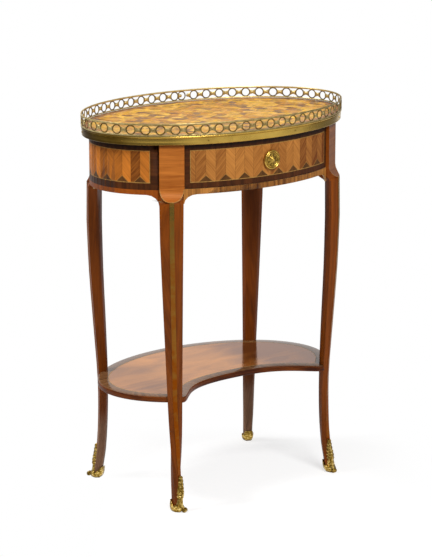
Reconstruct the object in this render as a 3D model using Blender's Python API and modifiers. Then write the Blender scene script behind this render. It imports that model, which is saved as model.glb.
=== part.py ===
"""Oval salon table with a pierced gallery, a bow-fronted drawer and a kidney shelf.

Metres, +Z up. The long axis of the oval is X and the drawer opens towards -Y.
The origin is on the floor under the middle of the top.
"""

import math
from collections import namedtuple

import bmesh
import bpy
import numpy as np
from mathutils import Matrix, Vector

# Clearances
GAP = 0.0003               # between pieces that touch
DRAWER_GAP = 0.001         # round the drawer front, so that it runs free

# Top and gallery
TOP_LENGTH = 0.565         # over the gallery, along X
TOP_DEPTH = 0.363          # over the gallery, along Y
TOTAL_HEIGHT = 0.740       # floor to the gallery's top edge
GALLERY_HEIGHT = 0.023     # above the surface of the top
GALLERY_THICKNESS = 0.0016
GALLERY_RAIL = 0.0022      # height of the plain rails above and below the rings
RING_COUNT = 53            # rings in the gallery's two lengths together
RING_HOLE = 0.012          # inner diameter of a ring
BEAD_SIZE = 0.005          # height of the bead between two rings
JOINT_TAB = 0.008          # plain end of a length at the back joint, past its last bead
JOINT_ANGLE = math.radians(77)       # place of the back joint on the oval
BAND_HEIGHT = 0.017        # brass band round the edge of the top
BAND_WIDTH = 0.006
BAND_TAPER = 0.002         # the band draws in by this much at its lower edge
BAND_BEAD = 0.003          # rounded moulding along the band's upper edge
BAND_FILLET = 0.0012       # step under that moulding
VENEER_THICKNESS = 0.0015

# Frieze
END_OVERHANG = 0.0165      # gallery past the frieze, at the ends
FRONT_OVERHANG = 0.0115    # gallery past the frieze, at the front and back
FRIEZE_HEIGHT = 0.094
RAIL_THICKNESS = 0.016
FRONT_RAIL_HEIGHT = 0.0105
BRACKET_REACH = 0.024      # the rails curve down into the legs over this length
BRACKET_DROP = 0.021       # and by this much
FRONT_BRACKET_DROP = 0.017
BRACKET_ROOT = 0.007       # thickness of the curved ends where they leave the rail
BRACKET_EDGE = 0.003       # and along their lower edge
TENON = 0.004              # the rails run this far into the sides of the stiles

# Legs
STILE_WIDTH = 0.046
STILE_PROUD = 0.005        # face of the stile in front of the frieze
STILE_DEPTH = 0.034
STILE_CLEARANCE = 0.0061   # between the stile's inner corner and the drawer's side
SHOULDER = 0.018           # the stile's inner part slopes back to the knee
TONGUE_HEIGHT = 0.022      # rounded lower end of the stile's face
FILLET_WIDTH = 0.0065      # flat along the front edge, which carries the brass strip
STRIP_THICKNESS = 0.0009
SIDE_SHARE = 0.4           # widest point of a section, from its front to its back
BACK_SHARE = 0.55          # width of a section's back against its full width
LEFT_TURN = math.radians(56)     # the left front foot turns far towards the front
RIGHT_TURN = math.radians(36)    # the right front foot turns less
BACK_TURN = math.radians(8)      # the back feet stay nearly square to the oval

# Foot mounts
SOLE = 0.005               # bronze under the wood
SHOE_WALL = 0.0022
LEAF_HEIGHT = 0.070        # tip of the leaf on the front edge
LEAF_THICKNESS = 0.0033
LOBE_SWELL = 0.003         # the leaf is thicker by this much at its lobe
LOBE_PLACE = 0.48          # height of the lobe, as a share of the leaf's
LOBE_SPREAD = 0.13
FOOT_SWELL = 0.0046        # the mount spreads by this much at the floor
FOOT_SPREAD = 0.20
LEAF_ROOT = 0.55           # height where the leaf leaves the side, as a share of its own
WING_ROOT = 0.72           # height where a wing leaves the side, as a share of its own
WING_HEIGHT = 0.025        # points at the back corners
NOTCH_HEIGHT = 0.010       # lowest point of the cut-out in each side
TOE_RADIUS = 0.0048        # rolled toe
TOE_REACH = 0.010          # middle of the roll in front of the wood

# Shelf between the legs
SHELF_SETBACK = 0.015      # ends of the shelf inside the frieze
SHELF_SWELL = 0.003        # its back edge outside the frieze
SHELF_TOP = 0.2195
SHELF_THICKNESS = 0.011
HORN_WIDTH = 0.034         # from the leg's middle to where a horn runs into the hollow front
HORN_PULL = 0.018          # roundness of the horns
HORN_ANGLE = math.radians(54)    # direction of the horns' outer edge, behind the leg
BAY_SETBACK = 0.055        # middle of the hollow front edge, in front of the centre line
BAY_FLAT = 0.100           # pull of the curve at the middle
BAY_PULL = 0.050           # pull of the curve at the horns
BAY_ANGLE = math.radians(43)     # direction in which it leaves the horns

# Drawer
DRAWER_WIDTH = 0.300       # over its sides
DRAWER_REAR = 0.096        # outer face of its back, behind the centre line
DRAWER_FRONT_THICKNESS = 0.018
DRAWER_SIDE_THICKNESS = 0.009
DRAWER_SIDE_HEIGHT = 0.070
DRAWER_BACK_THICKNESS = 0.008
DRAWER_BOTTOM_THICKNESS = 0.005
GROOVE_DEPTH = 0.004
GROOVE_HEIGHT = 0.006      # lower edge of the side to the groove
RUNNER_WIDTH = 0.028
GUIDE_WIDTH = 0.009
GUIDE_HEIGHT = 0.014
KICKER_WIDTH = 0.018
STOP_LENGTH = 0.030
STOP_HEIGHT = 0.020

# Knob
KNOB_DIAMETER = 0.037
KNOB_HEIGHT = 0.0108
KNOB_PLATE = 0.0035        # thickness at the outer rim
KNOB_RIM = 0.005           # width of the rounded rim
KNOB_BUTTON = 0.014        # diameter of the raised middle
STEM_DIAMETER = 0.006
NUT_SIZE = 0.011
NUT_THICKNESS = 0.004

# Fineness of the facets
OVAL_SIDES = 80
RAIL_STEPS = 16
BRACKET_STEPS = 4
ARC_SAMPLES = 4000
LEG_STEPS = 3
TONGUE_STEPS = 5
HOLE_SIDES = 8
TURN_SIDES = 28
SHOE_STEPS = 10
HORN_STEPS = 6
BAY_STEPS = 12
TOE_SIDES = 14

# Levels and ovals that follow from the sizes above
TABLE_Z = TOTAL_HEIGHT - GALLERY_HEIGHT
UNDERSIDE_Z = TABLE_Z - BAND_HEIGHT
FRIEZE_Z = UNDERSIDE_Z - FRIEZE_HEIGHT
OPENING_Z = FRIEZE_Z + FRONT_RAIL_HEIGHT
RIM = (TOP_LENGTH / 2, TOP_DEPTH / 2)
FRIEZE = (RIM[0] - END_OVERHANG, RIM[1] - FRONT_OVERHANG)

# Sections of the leg from the floor up. Front, back and drift are measured from the
# frieze at the middle of the stile: outwards, outwards and towards the table's end.
# The turn is the share of the foot's own turn.
Section = namedtuple("Section", "height front back width flat share drift turn")


def section(height, front, back, width, drift, turn):
    """Section with its height as a share of the leg's and the rest as shares of the stile's width."""
    return Section(height * FRIEZE_Z, front * STILE_WIDTH, back * STILE_WIDTH, width * STILE_WIDTH,
                   FILLET_WIDTH, BACK_SHARE, drift * STILE_WIDTH, turn)


FOOT = section(0.0, 0.370, 0.043, 0.415, -0.130, 1.0)
HEEL = section(0.050, 0.280, -0.065, 0.435, -0.130, 1.0)
INSTEP = section(0.099, 0.180, -0.163, 0.468, -0.124, 0.95)
ANKLE = section(0.198, 0.090, -0.252, 0.517, -0.122, 0.45)
SHIN = section(0.330, 0.075, -0.292, 0.590, -0.100, 0.0)
CALF = section(0.495, 0.207, -0.243, 0.697, -0.057, 0.0)
THIGH = section(0.693, 0.370, -0.152, 0.828, -0.007, 0.0)
KNEE = section(0.858, 0.435, -0.117, 0.935, 0.026, 0.0)
KNEE_HEAD = section(1.0, 0.409, -0.132, 0.970, 0.026, 0.0)    # just under the tongue
LOWER_LEG = (FOOT, HEEL, INSTEP, ANKLE, SHIN, CALF, THIGH, KNEE)
Leg = namedtuple("Leg", "corner hand heading turn")
LEGS = (
    Leg("back_right", 1, 0.0, BACK_TURN),
    Leg("front_left", 1, math.pi, LEFT_TURN),
    Leg("back_left", -1, 0.0, BACK_TURN),
    Leg("front_right", -1, math.pi, RIGHT_TURN),
)

Piece = namedtuple("Piece", "colour roughness metallic")
TULIPWOOD = Piece((0.47, 0.20, 0.07), 0.35, 0.0)
PARQUETRY = Piece((0.60, 0.30, 0.11), 0.30, 0.0)
OAK = Piece((0.45, 0.29, 0.15), 0.70, 0.0)
BRONZE = Piece((0.66, 0.46, 0.17), 0.30, 1.0)
IRON = Piece((0.18, 0.17, 0.16), 0.55, 1.0)


# Scene helpers


def clear_scene():
    """Remove every object and make the two collections."""
    for item in list(bpy.data.objects):
        bpy.data.objects.remove(item)
    for name in ("Salon table", "Cutters"):
        if name not in bpy.data.collections:
            group = bpy.data.collections.new(name)
            bpy.context.scene.collection.children.link(group)


def finish(item, look):
    """Give a part its material and put it with the other parts."""
    skin = bpy.data.materials.new(item.name)
    skin.use_nodes = True
    shader = skin.node_tree.nodes["Principled BSDF"]
    shader.inputs["Base Color"].default_value = (*look.colour, 1.0)
    shader.inputs["Roughness"].default_value = look.roughness
    shader.inputs["Metallic"].default_value = look.metallic
    skin.diffuse_color = (*look.colour, 1.0)
    item.data.materials.clear()
    item.data.materials.append(skin)
    bpy.data.collections["Salon table"].objects.link(item)
    return item


def as_cutter(item):
    """Put an object with the cutters, out of the model."""
    item.hide_render = True
    item.display_type = "WIRE"
    bpy.data.collections["Cutters"].objects.link(item)
    return item


def combine(item, other, operation):
    """Cut, join or trim a part with another object."""
    step = item.modifiers.new(operation.title(), "BOOLEAN")
    step.operation = operation
    step.solver = "EXACT"
    step.object = other


def mesh_object(name, shape):
    """Turn a bmesh into an object with its faces pointing out."""
    bmesh.ops.recalc_face_normals(shape, faces=shape.faces)
    mesh = bpy.data.meshes.new(name)
    shape.to_mesh(mesh)
    shape.free()
    return bpy.data.objects.new(name, mesh)


def round_shading(item):
    """Shade a rounded piece smooth, with its edges kept crisp."""
    item.data.shade_smooth()
    item.data.set_sharp_from_angle(angle=math.radians(35))
    return item


# Shapes


def box(name, low, high):
    """Box between two corners, placed by its middle."""
    low = Vector(low)
    high = Vector(high)
    shape = bmesh.new()
    bmesh.ops.create_cube(shape, size=1.0, matrix=Matrix.Diagonal((*(high - low), 1.0)))
    item = mesh_object(name, shape)
    item.location = (low + high) / 2
    return item


def slab(name, outline, low, high):
    """Upright plate with a flat outline, between two heights."""
    mesh = flat_outline(name, outline, (), high - low)
    shape = bmesh.new()
    shape.from_mesh(mesh)
    bpy.data.meshes.remove(mesh)
    bmesh.ops.remove_doubles(shape, verts=shape.verts, dist=GAP / 10)
    item = mesh_object(name, shape)
    item.location.z = (low + high) / 2
    return item


def oval(name, axes, low, high, inset):
    """Upright oval plate that stays an even distance inside another oval."""
    turns = [2 * math.pi * step / OVAL_SIDES for step in range(OVAL_SIDES)]
    return slab(name, [oval_point(axes, turn, -inset) for turn in turns], low, high)


def loft(name, rings, closed=False):
    """Skin over rings of points that all have the same count."""
    shape = bmesh.new()
    rows = [[shape.verts.new(point) for point in ring] for ring in rings]
    pairs = list(zip(rows, rows[1:]))
    if closed:
        pairs.append((rows[-1], rows[0]))
    else:
        shape.faces.new(rows[0])
        shape.faces.new(rows[-1])
    sides = []
    for row, following in pairs:
        for index, corner in enumerate(row):
            beside = (index + 1) % len(row)
            sides.append(shape.faces.new((corner, row[beside], following[beside], following[index])))
    bmesh.ops.triangulate(shape, faces=sides, quad_method="FIXED")
    return mesh_object(name, shape)


def turned(name, profile, axis_point, look):
    """Round piece about an axis along Y, from a profile of radius and reach forwards."""
    shape = bmesh.new()
    verts = [shape.verts.new((radius, 0.0, reach)) for radius, reach in profile]
    for upper, lower in zip(verts, verts[1:]):
        shape.edges.new((upper, lower))
    mesh = bpy.data.meshes.new(name)
    shape.to_mesh(mesh)
    shape.free()
    item = bpy.data.objects.new(name, mesh)
    spin = item.modifiers.new("Turning", "SCREW")
    spin.steps = TURN_SIDES
    spin.render_steps = TURN_SIDES
    spin.use_merge_vertices = True
    spin.merge_threshold = GAP / 10
    item.location = axis_point
    item.rotation_euler.x = math.pi / 2
    return finish(item, look)


def flat_outline(name, outline, holes=(), thickness=0.0):
    """Mesh of a flat shape in the XY plane, drawn as a filled curve."""
    curve = bpy.data.curves.new(name, "CURVE")
    curve.dimensions = "2D"
    curve.fill_mode = "BOTH" if thickness else "FRONT"
    curve.extrude = thickness / 2
    for points in (outline, *holes):
        spline = curve.splines.new("POLY")
        spline.points.add(len(points) - 1)
        for place, point in zip(spline.points, points):
            place.co = (point[0], point[1], 0.0, 1.0)
        spline.use_cyclic_u = True
    drawing = bpy.data.objects.new(name, curve)
    bpy.context.scene.collection.objects.link(drawing)
    graph = bpy.context.evaluated_depsgraph_get()
    mesh = bpy.data.meshes.new_from_object(drawing.evaluated_get(graph))
    bpy.data.objects.remove(drawing)
    return mesh


# The oval


def oval_point(axes, angle, outwards=0.0):
    """Point on an oval, or beside it along its normal."""
    normal = oval_normal(axes, angle)
    return Vector((axes[0] * math.cos(angle), axes[1] * math.sin(angle))) + outwards * normal


def oval_normal(axes, angle):
    """Outward direction of an oval at an angle of its parameter."""
    return Vector((math.cos(angle) / axes[0], math.sin(angle) / axes[1])).normalized()


def stile_angle():
    """Place of the legs on the oval, where their inner corners clear the drawer."""
    angles = np.linspace(math.pi / 2, 0.0, ARC_SAMPLES)
    across = np.cos(angles) / FRIEZE[0]
    along = np.sin(angles) / FRIEZE[1]
    size = np.hypot(across, along)
    corners = FRIEZE[0] * np.cos(angles) - (STILE_DEPTH - STILE_PROUD) * across / size
    corners -= STILE_WIDTH / 2 * along / size
    return float(np.interp(DRAWER_WIDTH / 2 + STILE_CLEARANCE, corners, angles))


STILE_ANGLE = stile_angle()


def shrunk(axes, inset):
    """Oval with both half axes shorter by an inset."""
    return (axes[0] - inset, axes[1] - inset)


def arc_table(axes):
    """Angles of an oval and the lengths along it, once round."""
    angles = np.linspace(0.0, 2 * math.pi, ARC_SAMPLES + 1)
    x = axes[0] * np.cos(angles)
    y = axes[1] * np.sin(angles)
    steps = np.hypot(np.diff(x), np.diff(y))
    return angles, np.concatenate(([0.0], np.cumsum(steps)))


def sweep(name, axes, angles, profile, closed=False):
    """Moulding along an oval from a profile of points outwards and up at each angle."""
    rings = []
    for angle in angles:
        ring = []
        for outwards, height in profile(angle):
            ring.append((*oval_point(axes, angle, outwards), height))
        rings.append(ring)
    return loft(name, rings, closed)


# Legs


def hermite(start, end, before, after, share):
    """Smooth value between two others, with the slopes of their neighbours."""
    square = share * share
    cube = square * share
    value = (2 * cube - 3 * square + 1) * start + (3 * square - 2 * cube) * end
    return value + (cube - 2 * square + share) * before + (cube - square) * after


def slope(sections, index, field):
    """Rate of change of a field at a section, from its neighbours."""
    low = sections[max(index - 1, 0)]
    high = sections[min(index + 1, len(sections) - 1)]
    return (getattr(high, field) - getattr(low, field)) / (high.height - low.height)


def between(index, share):
    """Section part of the way from one of the lower leg's to the next."""
    low = LOWER_LEG[index]
    high = LOWER_LEG[index + 1]
    span = high.height - low.height
    values = {"height": low.height + share * span}
    for field in Section._fields[1:]:
        before = slope(LOWER_LEG, index, field) * span
        after = slope(LOWER_LEG, index + 1, field) * span
        values[field] = hermite(getattr(low, field), getattr(high, field), before, after, share)
    return Section(**values)


def leg_sections():
    """Every section of a leg from the floor to the underside of the top."""
    sections = []
    for index in range(len(LOWER_LEG) - 1):
        for step in range(LEG_STEPS):
            sections.append(between(index, step / LEG_STEPS))
    sections.append(KNEE)
    tongue_low = FRIEZE_Z - TONGUE_HEIGHT / 2
    knee_high = FRIEZE_Z - SHOULDER
    for step in range(TONGUE_STEPS + 1):
        turn = step / TONGUE_STEPS * math.pi / 2
        height = tongue_low + TONGUE_HEIGHT * (1 - math.cos(turn))
        inner = min((height - knee_high) / SHOULDER, 1.0)
        sections.append(Section(
            height=height,
            front=KNEE_HEAD.front + (STILE_PROUD - KNEE_HEAD.front) * math.sin(turn) ** 2,
            back=KNEE_HEAD.back + (STILE_PROUD - STILE_DEPTH - KNEE_HEAD.back) * inner,
            width=KNEE_HEAD.width + (STILE_WIDTH - KNEE_HEAD.width) * math.sin(turn),
            flat=FILLET_WIDTH + (STILE_WIDTH - FILLET_WIDTH) * math.sin(turn),
            share=BACK_SHARE + (1 - BACK_SHARE) * inner,
            drift=KNEE_HEAD.drift * math.cos(turn),
            turn=0.0,
        ))
    sections.insert(sections.index(KNEE) + 1, KNEE_HEAD._replace(height=knee_high))
    sections.append(sections[-1]._replace(height=UNDERSIDE_Z - GAP))
    return sections


def section_at(height):
    """Section of the lower leg at a height."""
    for index, low in enumerate(LOWER_LEG[:-1]):
        span = LOWER_LEG[index + 1].height - low.height
        if height <= low.height + span:
            return between(index, (height - low.height) / span)
    return KNEE


def section_outline(section, grow=0.0, front_grow=None):
    """Corners of a leg's section, outwards and along the frieze, grown on every side."""
    if front_grow is None:
        front_grow = grow
    depth = section.front - section.back
    side = section.front - SIDE_SHARE * depth
    half = section.width / 2 + grow
    back_half = section.share * section.width / 2 + grow
    flat_half = min(section.flat / 2 + grow, half)
    front = section.front + front_grow
    back = section.back - grow
    return [(front, -flat_half), (front, flat_half), (side, half),
            (back, back_half), (back, -back_half), (side, -half)]


def leg_ring(section, outline, leg):
    """Corners of a section in the room, for a leg before it is set to its heading."""
    root = oval_point(FRIEZE, STILE_ANGLE)
    out = oval_normal(FRIEZE, STILE_ANGLE)
    along = Vector((out.y, -out.x))
    middle = (section.front + section.back) / 2
    turn = section.turn * leg.turn
    ring = []
    for outwards, sideways in outline:
        turned_out = (outwards - middle) * math.cos(turn) + sideways * math.sin(turn)
        turned_side = sideways * math.cos(turn) - (outwards - middle) * math.sin(turn)
        place = root + (middle + turned_out) * out + (section.drift + turned_side) * along
        ring.append((leg.hand * place.x, place.y, section.height))
    return ring


def leg_shape(name, leg, grow=0.0):
    """Wood of one leg, from inside its shoe to the top, or the same grown as a cutter."""
    foot = section_at(SOLE - grow)
    sections = [foot] + [each for each in leg_sections() if each.height > foot.height + GAP]
    if grow:
        sections[-1] = sections[-1]._replace(height=sections[-1].height + 2 * GAP)
    return loft(name, [leg_ring(each, section_outline(each, grow), leg) for each in sections])


def strip_shape(name, leg):
    """Brass strip let on to the front edge, from the leaf to the tongue."""
    top = FRIEZE_Z - TONGUE_HEIGHT / 2
    sections = [section_at(LEAF_HEIGHT + GAP)]
    sections += [each for each in leg_sections() if LEAF_HEIGHT < each.height <= top]
    rings = []
    for section in sections:
        half = section.flat / 2
        inner = section.front + GAP
        outer = inner + STRIP_THICKNESS
        outline = [(inner, -half), (outer, -half), (outer, half), (inner, half)]
        rings.append(leg_ring(section, outline, leg))
    return loft(name, rings)


def shoe_swell(height):
    """Thickness of the bronze in front of the wood: leaf, lobe, neck and toe."""
    share = height / LEAF_HEIGHT
    lobe = math.exp(-((share - LOBE_PLACE) / LOBE_SPREAD) ** 2)
    foot = math.exp(-(share / FOOT_SPREAD) ** 2)
    return LEAF_THICKNESS + LOBE_SWELL * lobe + FOOT_SWELL * foot


def shoe_shape(name, leg):
    """Solid round the foot, before the wood and the cut-outs are taken out of it."""
    rings = []
    for step in range(SHOE_STEPS + 1):
        height = LEAF_HEIGHT * step / SHOE_STEPS
        section = section_at(height)
        outline = section_outline(section, SHOE_WALL, shoe_swell(height))
        rings.append(leg_ring(section, outline, leg))
    return loft(name, rings)


def shoe_trim(name, leg):
    """Side view of the shoe, drawn through it: wings, cut-outs and leaf."""
    base = section_at(0.0)
    tip = section_at(LEAF_HEIGHT)
    heel = section_at(WING_HEIGHT)
    reach = TOE_REACH + TOE_RADIUS * 2
    back = heel.back - SHOE_WALL * 2
    side_low = (base.front + base.back) / 2
    leaf_back = section_at(LEAF_HEIGHT / 2).front - FILLET_WIDTH / 2
    outline = [
        (back, -SOLE), (base.front + reach, -SOLE), (base.front + reach, LEAF_HEIGHT),
        (tip.front - GAP, LEAF_HEIGHT), (leaf_back, LEAF_HEIGHT * LEAF_ROOT),
        (side_low, NOTCH_HEIGHT), (heel.back + SHOE_WALL, WING_HEIGHT * WING_ROOT),
        (heel.back - SHOE_WALL / 2, WING_HEIGHT), (back, WING_HEIGHT),
    ]
    half = base.width + SHOE_WALL * 2
    sides = []
    for sideways in (-half, half):
        side = []
        for outwards, height in outline:
            level = section_at(max(height, 0.0))._replace(height=height)
            side.extend(leg_ring(level, [(outwards, sideways)], leg))
        sides.append(side)
    return loft(name, sides)


def toe_roll(name, leg):
    """Rolled toe across the front of the shoe."""
    section = section_at(TOE_RADIUS)
    middle = section.front + TOE_REACH
    half = section.flat / 2 + SHOE_WALL
    sides = []
    for sideways in (-half, half):
        ring = []
        for step in range(TOE_SIDES):
            angle = 2 * math.pi * step / TOE_SIDES
            outline = [(middle + TOE_RADIUS * math.cos(angle), sideways)]
            height = TOE_RADIUS * (1 + math.sin(angle))
            ring.extend(leg_ring(section._replace(height=height), outline, leg))
        sides.append(ring)
    return loft(name, sides)


def make_legs():
    """Four legs with their brass strips and bronze shoes; returns the cutters."""
    cores = {}
    for leg in LEGS:
        wood = finish(leg_shape("leg_" + leg.corner, leg), TULIPWOOD)
        strip = finish(strip_shape("leg_strip_" + leg.corner, leg), BRONZE)
        shoe = finish(shoe_shape("foot_mount_" + leg.corner, leg), BRONZE)
        core = as_cutter(leg_shape("leg_core_" + leg.corner, leg, GAP))
        trim = as_cutter(shoe_trim("shoe_trim_" + leg.corner, leg))
        toe = as_cutter(toe_roll("toe_roll_" + leg.corner, leg))
        for item in (wood, strip, shoe, core, trim, toe):
            item.rotation_euler.z = leg.heading
        combine(shoe, trim, "INTERSECT")
        combine(shoe, toe, "UNION")
        combine(shoe, core, "DIFFERENCE")
        cores[leg.corner] = core
    return cores


# Top and gallery


def make_top():
    """Oak core, parquetry surface and the brass band round them."""
    inset = BAND_WIDTH + GAP
    veneer_z = TABLE_Z - VENEER_THICKNESS
    finish(oval("top_board", RIM, UNDERSIDE_Z, veneer_z - GAP, inset), OAK)
    finish(oval("top_parquetry", RIM, veneer_z, TABLE_Z, inset), PARQUETRY)
    fascia = TABLE_Z - BAND_BEAD
    profile = [
        (-BAND_WIDTH, UNDERSIDE_Z), (-BAND_WIDTH, TABLE_Z), (-BAND_FILLET, TABLE_Z),
        (0.0, TABLE_Z - BAND_BEAD * 0.35), (-BAND_FILLET * 0.2, fascia),
        (-BAND_FILLET * 1.4, fascia - BAND_FILLET), (-BAND_TAPER, UNDERSIDE_Z + BAND_FILLET),
        (-BAND_TAPER - BAND_FILLET / 2, UNDERSIDE_Z),
    ]
    angles = [2 * math.pi * step / OVAL_SIDES for step in range(OVAL_SIDES)]
    band = sweep("top_band", RIM, angles, lambda angle: profile, closed=True)
    finish(round_shading(band), BRONZE)


def fret_cell(pitch, left_tab, right_tab):
    """One ring of the gallery with the halves of its two beads, as a flat outline."""
    rail_top = GALLERY_HEIGHT - GALLERY_RAIL
    middle = GALLERY_HEIGHT / 2
    ring = middle - GALLERY_RAIL / 2
    bead = BEAD_SIZE / 2
    half = pitch / 2
    meet = math.sqrt(ring ** 2 - (middle - GALLERY_RAIL) ** 2)
    shoulder = (ring * math.cos(math.pi / 4), ring * math.sin(math.pi / 4))
    right = half + right_tab
    left = half + left_tab

    def side(end, tab):
        lower = [(meet, GALLERY_RAIL), (shoulder[0], middle - shoulder[1]), (half, middle - bead)]
        start = [(end, 0.0), (end, GALLERY_RAIL)]
        upper = [(x, GALLERY_HEIGHT - y) for x, y in reversed(lower)]
        stop = [(end, rail_top), (end, GALLERY_HEIGHT)]
        cap = [(half + bead, middle)] if tab else []
        return start + lower + cap + upper + stop

    outline = side(right, right_tab)
    outline += [(-x, y) for x, y in reversed(side(left, left_tab))]
    hole = []
    for step in range(HOLE_SIDES):
        angle = 2 * math.pi * (step + 0.5) / HOLE_SIDES
        radius = RING_HOLE / 2
        hole.append((radius * math.cos(angle), middle + radius * math.sin(angle)))
    return outline, [hole]


def fret_length(name, start, pitch, tabs):
    """One length of the pierced gallery, bent to the oval; a tab for each ring's two sides."""
    axes = shrunk(RIM, GALLERY_THICKNESS / 2)
    angles, lengths = arc_table(axes)
    around = lengths[-1]
    sheet = bmesh.new()
    for index, (left_tab, right_tab) in enumerate(tabs):
        mesh = flat_outline(name, *fret_cell(pitch, left_tab, right_tab))
        mesh.transform(Matrix.Translation((tabs[0][0] + (index + 0.5) * pitch, 0.0, 0.0)))
        sheet.from_mesh(mesh)
        bpy.data.meshes.remove(mesh)
    bmesh.ops.remove_doubles(sheet, verts=sheet.verts, dist=GAP / 10)
    for vert in sheet.verts:
        angle = float(np.interp((start + vert.co.x) % around, lengths, angles))
        vert.co = (*oval_point(axes, angle), TABLE_Z + GAP + vert.co.y * (1 - GAP / GALLERY_HEIGHT))
    item = mesh_object(name, sheet)
    wall = item.modifiers.new("Thickness", "SOLIDIFY")
    wall.thickness = GALLERY_THICKNESS
    wall.offset = 0.0
    return finish(item, BRONZE)


def make_gallery():
    """Two lengths of pierced gallery that meet in a bead at the front and with plain ends at the back."""
    angles, lengths = arc_table(shrunk(RIM, GALLERY_THICKNESS / 2))
    pitch = (lengths[-1] - 2 * GAP - 2 * JOINT_TAB) / RING_COUNT
    right_rings = RING_COUNT // 2
    left_rings = RING_COUNT - right_rings
    back = float(np.interp(JOINT_ANGLE, angles, lengths)) + GAP / 2
    front = back + JOINT_TAB + left_rings * pitch + GAP
    inner = (0.0, 0.0)
    fret_length("gallery_left", back, pitch, [(JOINT_TAB, 0.0)] + [inner] * (left_rings - 1))
    fret_length("gallery_right", front, pitch, [inner] * (right_rings - 1) + [(0.0, JOINT_TAB)])


# Frieze


def rail_stations(start_angle, end_angle, full_drop):
    """Angles along a rail between two stiles, each with the drop of its lower edge."""
    angles, lengths = arc_table(FRIEZE)
    around = lengths[-1]
    first = float(np.interp(start_angle % (2 * math.pi), angles, lengths))
    last = float(np.interp(end_angle % (2 * math.pi), angles, lengths))
    places = [(STILE_WIDTH / 2 - TENON, full_drop)]
    for step in range(BRACKET_STEPS + 1):
        turn = math.pi / 2 * (1 - step / BRACKET_STEPS)
        place = STILE_WIDTH / 2 + BRACKET_REACH * (1 - math.sin(turn))
        places.append((place, full_drop * (1 - math.cos(turn))))
    run = (last - first) % around
    inner = places[-1][0]
    middle = []
    for step in range(1, RAIL_STEPS):
        middle.append((inner + (run - 2 * inner) * step / RAIL_STEPS, 0.0))
    far = [(run - place, drop) for place, drop in reversed(places)]
    stations = []
    for place, drop in places + middle + far:
        stations.append((float(np.interp((first + place) % around, lengths, angles)), drop))
    return stations


def make_rail(name, start_angle, end_angle, levels, corners, cores, look):
    """Curved rail between two legs, cut to their sides."""
    top, full_drop = levels
    drops = dict(rail_stations(start_angle, end_angle, full_drop))

    def profile(angle):
        low = FRIEZE_Z - drops[angle]
        return [(0.0, low), (0.0, top), (-RAIL_THICKNESS, top), (-RAIL_THICKNESS, FRIEZE_Z),
                (-BRACKET_ROOT, FRIEZE_Z), (-BRACKET_EDGE, low)]

    rail = finish(sweep(name, FRIEZE, list(drops), profile), look)
    for corner in corners:
        combine(rail, cores[corner], "DIFFERENCE")


def make_frieze(cores):
    """End, back and front rails."""
    angle = STILE_ANGLE
    full = (UNDERSIDE_Z - GAP, BRACKET_DROP)
    make_rail("end_rail_right", -angle, angle, full,
              ("front_right", "back_right"), cores, PARQUETRY)
    make_rail("back_rail", angle, math.pi - angle, full,
              ("back_right", "back_left"), cores, PARQUETRY)
    make_rail("end_rail_left", math.pi - angle, math.pi + angle, full,
              ("back_left", "front_left"), cores, PARQUETRY)
    make_rail("front_rail", math.pi + angle, -angle, (OPENING_Z, FRONT_BRACKET_DROP),
              ("front_left", "front_right"), cores, TULIPWOOD)


def make_runners(cores):
    """Strips inside the frieze that carry, guide, keep down and stop the drawer."""
    inside = as_cutter(oval("frieze_inside", FRIEZE, 0.0, TOTAL_HEIGHT, RAIL_THICKNESS + 2 * GAP))
    half = DRAWER_WIDTH / 2
    long = FRIEZE[1]
    side_low = OPENING_Z + GAP
    side_high = side_low + DRAWER_SIDE_HEIGHT
    for side, name in ((-1, "left"), (1, "right")):
        outer = half + GAP + GUIDE_WIDTH
        runner = strip_box("runner_" + name, side, outer - RUNNER_WIDTH, outer,
                           (-long, long), (FRIEZE_Z, OPENING_Z))
        combine(runner, inside, "INTERSECT")
        combine(runner, cores["front_" + name], "DIFFERENCE")
        combine(runner, cores["back_" + name], "DIFFERENCE")
        guide = strip_box("guide_" + name, side, half + GAP, outer,
                          (-FRIEZE[1] / 2, FRIEZE[1] / 2), (OPENING_Z + GAP, OPENING_Z + GUIDE_HEIGHT))
        combine(guide, inside, "INTERSECT")
        strip_box("kicker_" + name, side, outer - KICKER_WIDTH, outer,
                  (-FRIEZE[1] / 2, FRIEZE[1] / 2), (side_high + DRAWER_GAP, UNDERSIDE_Z - GAP))
        stop_inner = half - DRAWER_SIDE_THICKNESS
        stop = strip_box("stop_" + name, side, stop_inner - STOP_LENGTH, stop_inner,
                         (DRAWER_REAR + GAP, long), (OPENING_Z + GAP, OPENING_Z + STOP_HEIGHT))
        combine(stop, inside, "INTERSECT")


def strip_box(name, side, inner, outer, along, heights):
    """Oak strip on one side of the centre line."""
    low_x, high_x = sorted((side * inner, side * outer))
    item = box(name, (low_x, along[0], heights[0]), (high_x, along[1], heights[1]))
    return finish(item, OAK)


# Drawer


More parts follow.
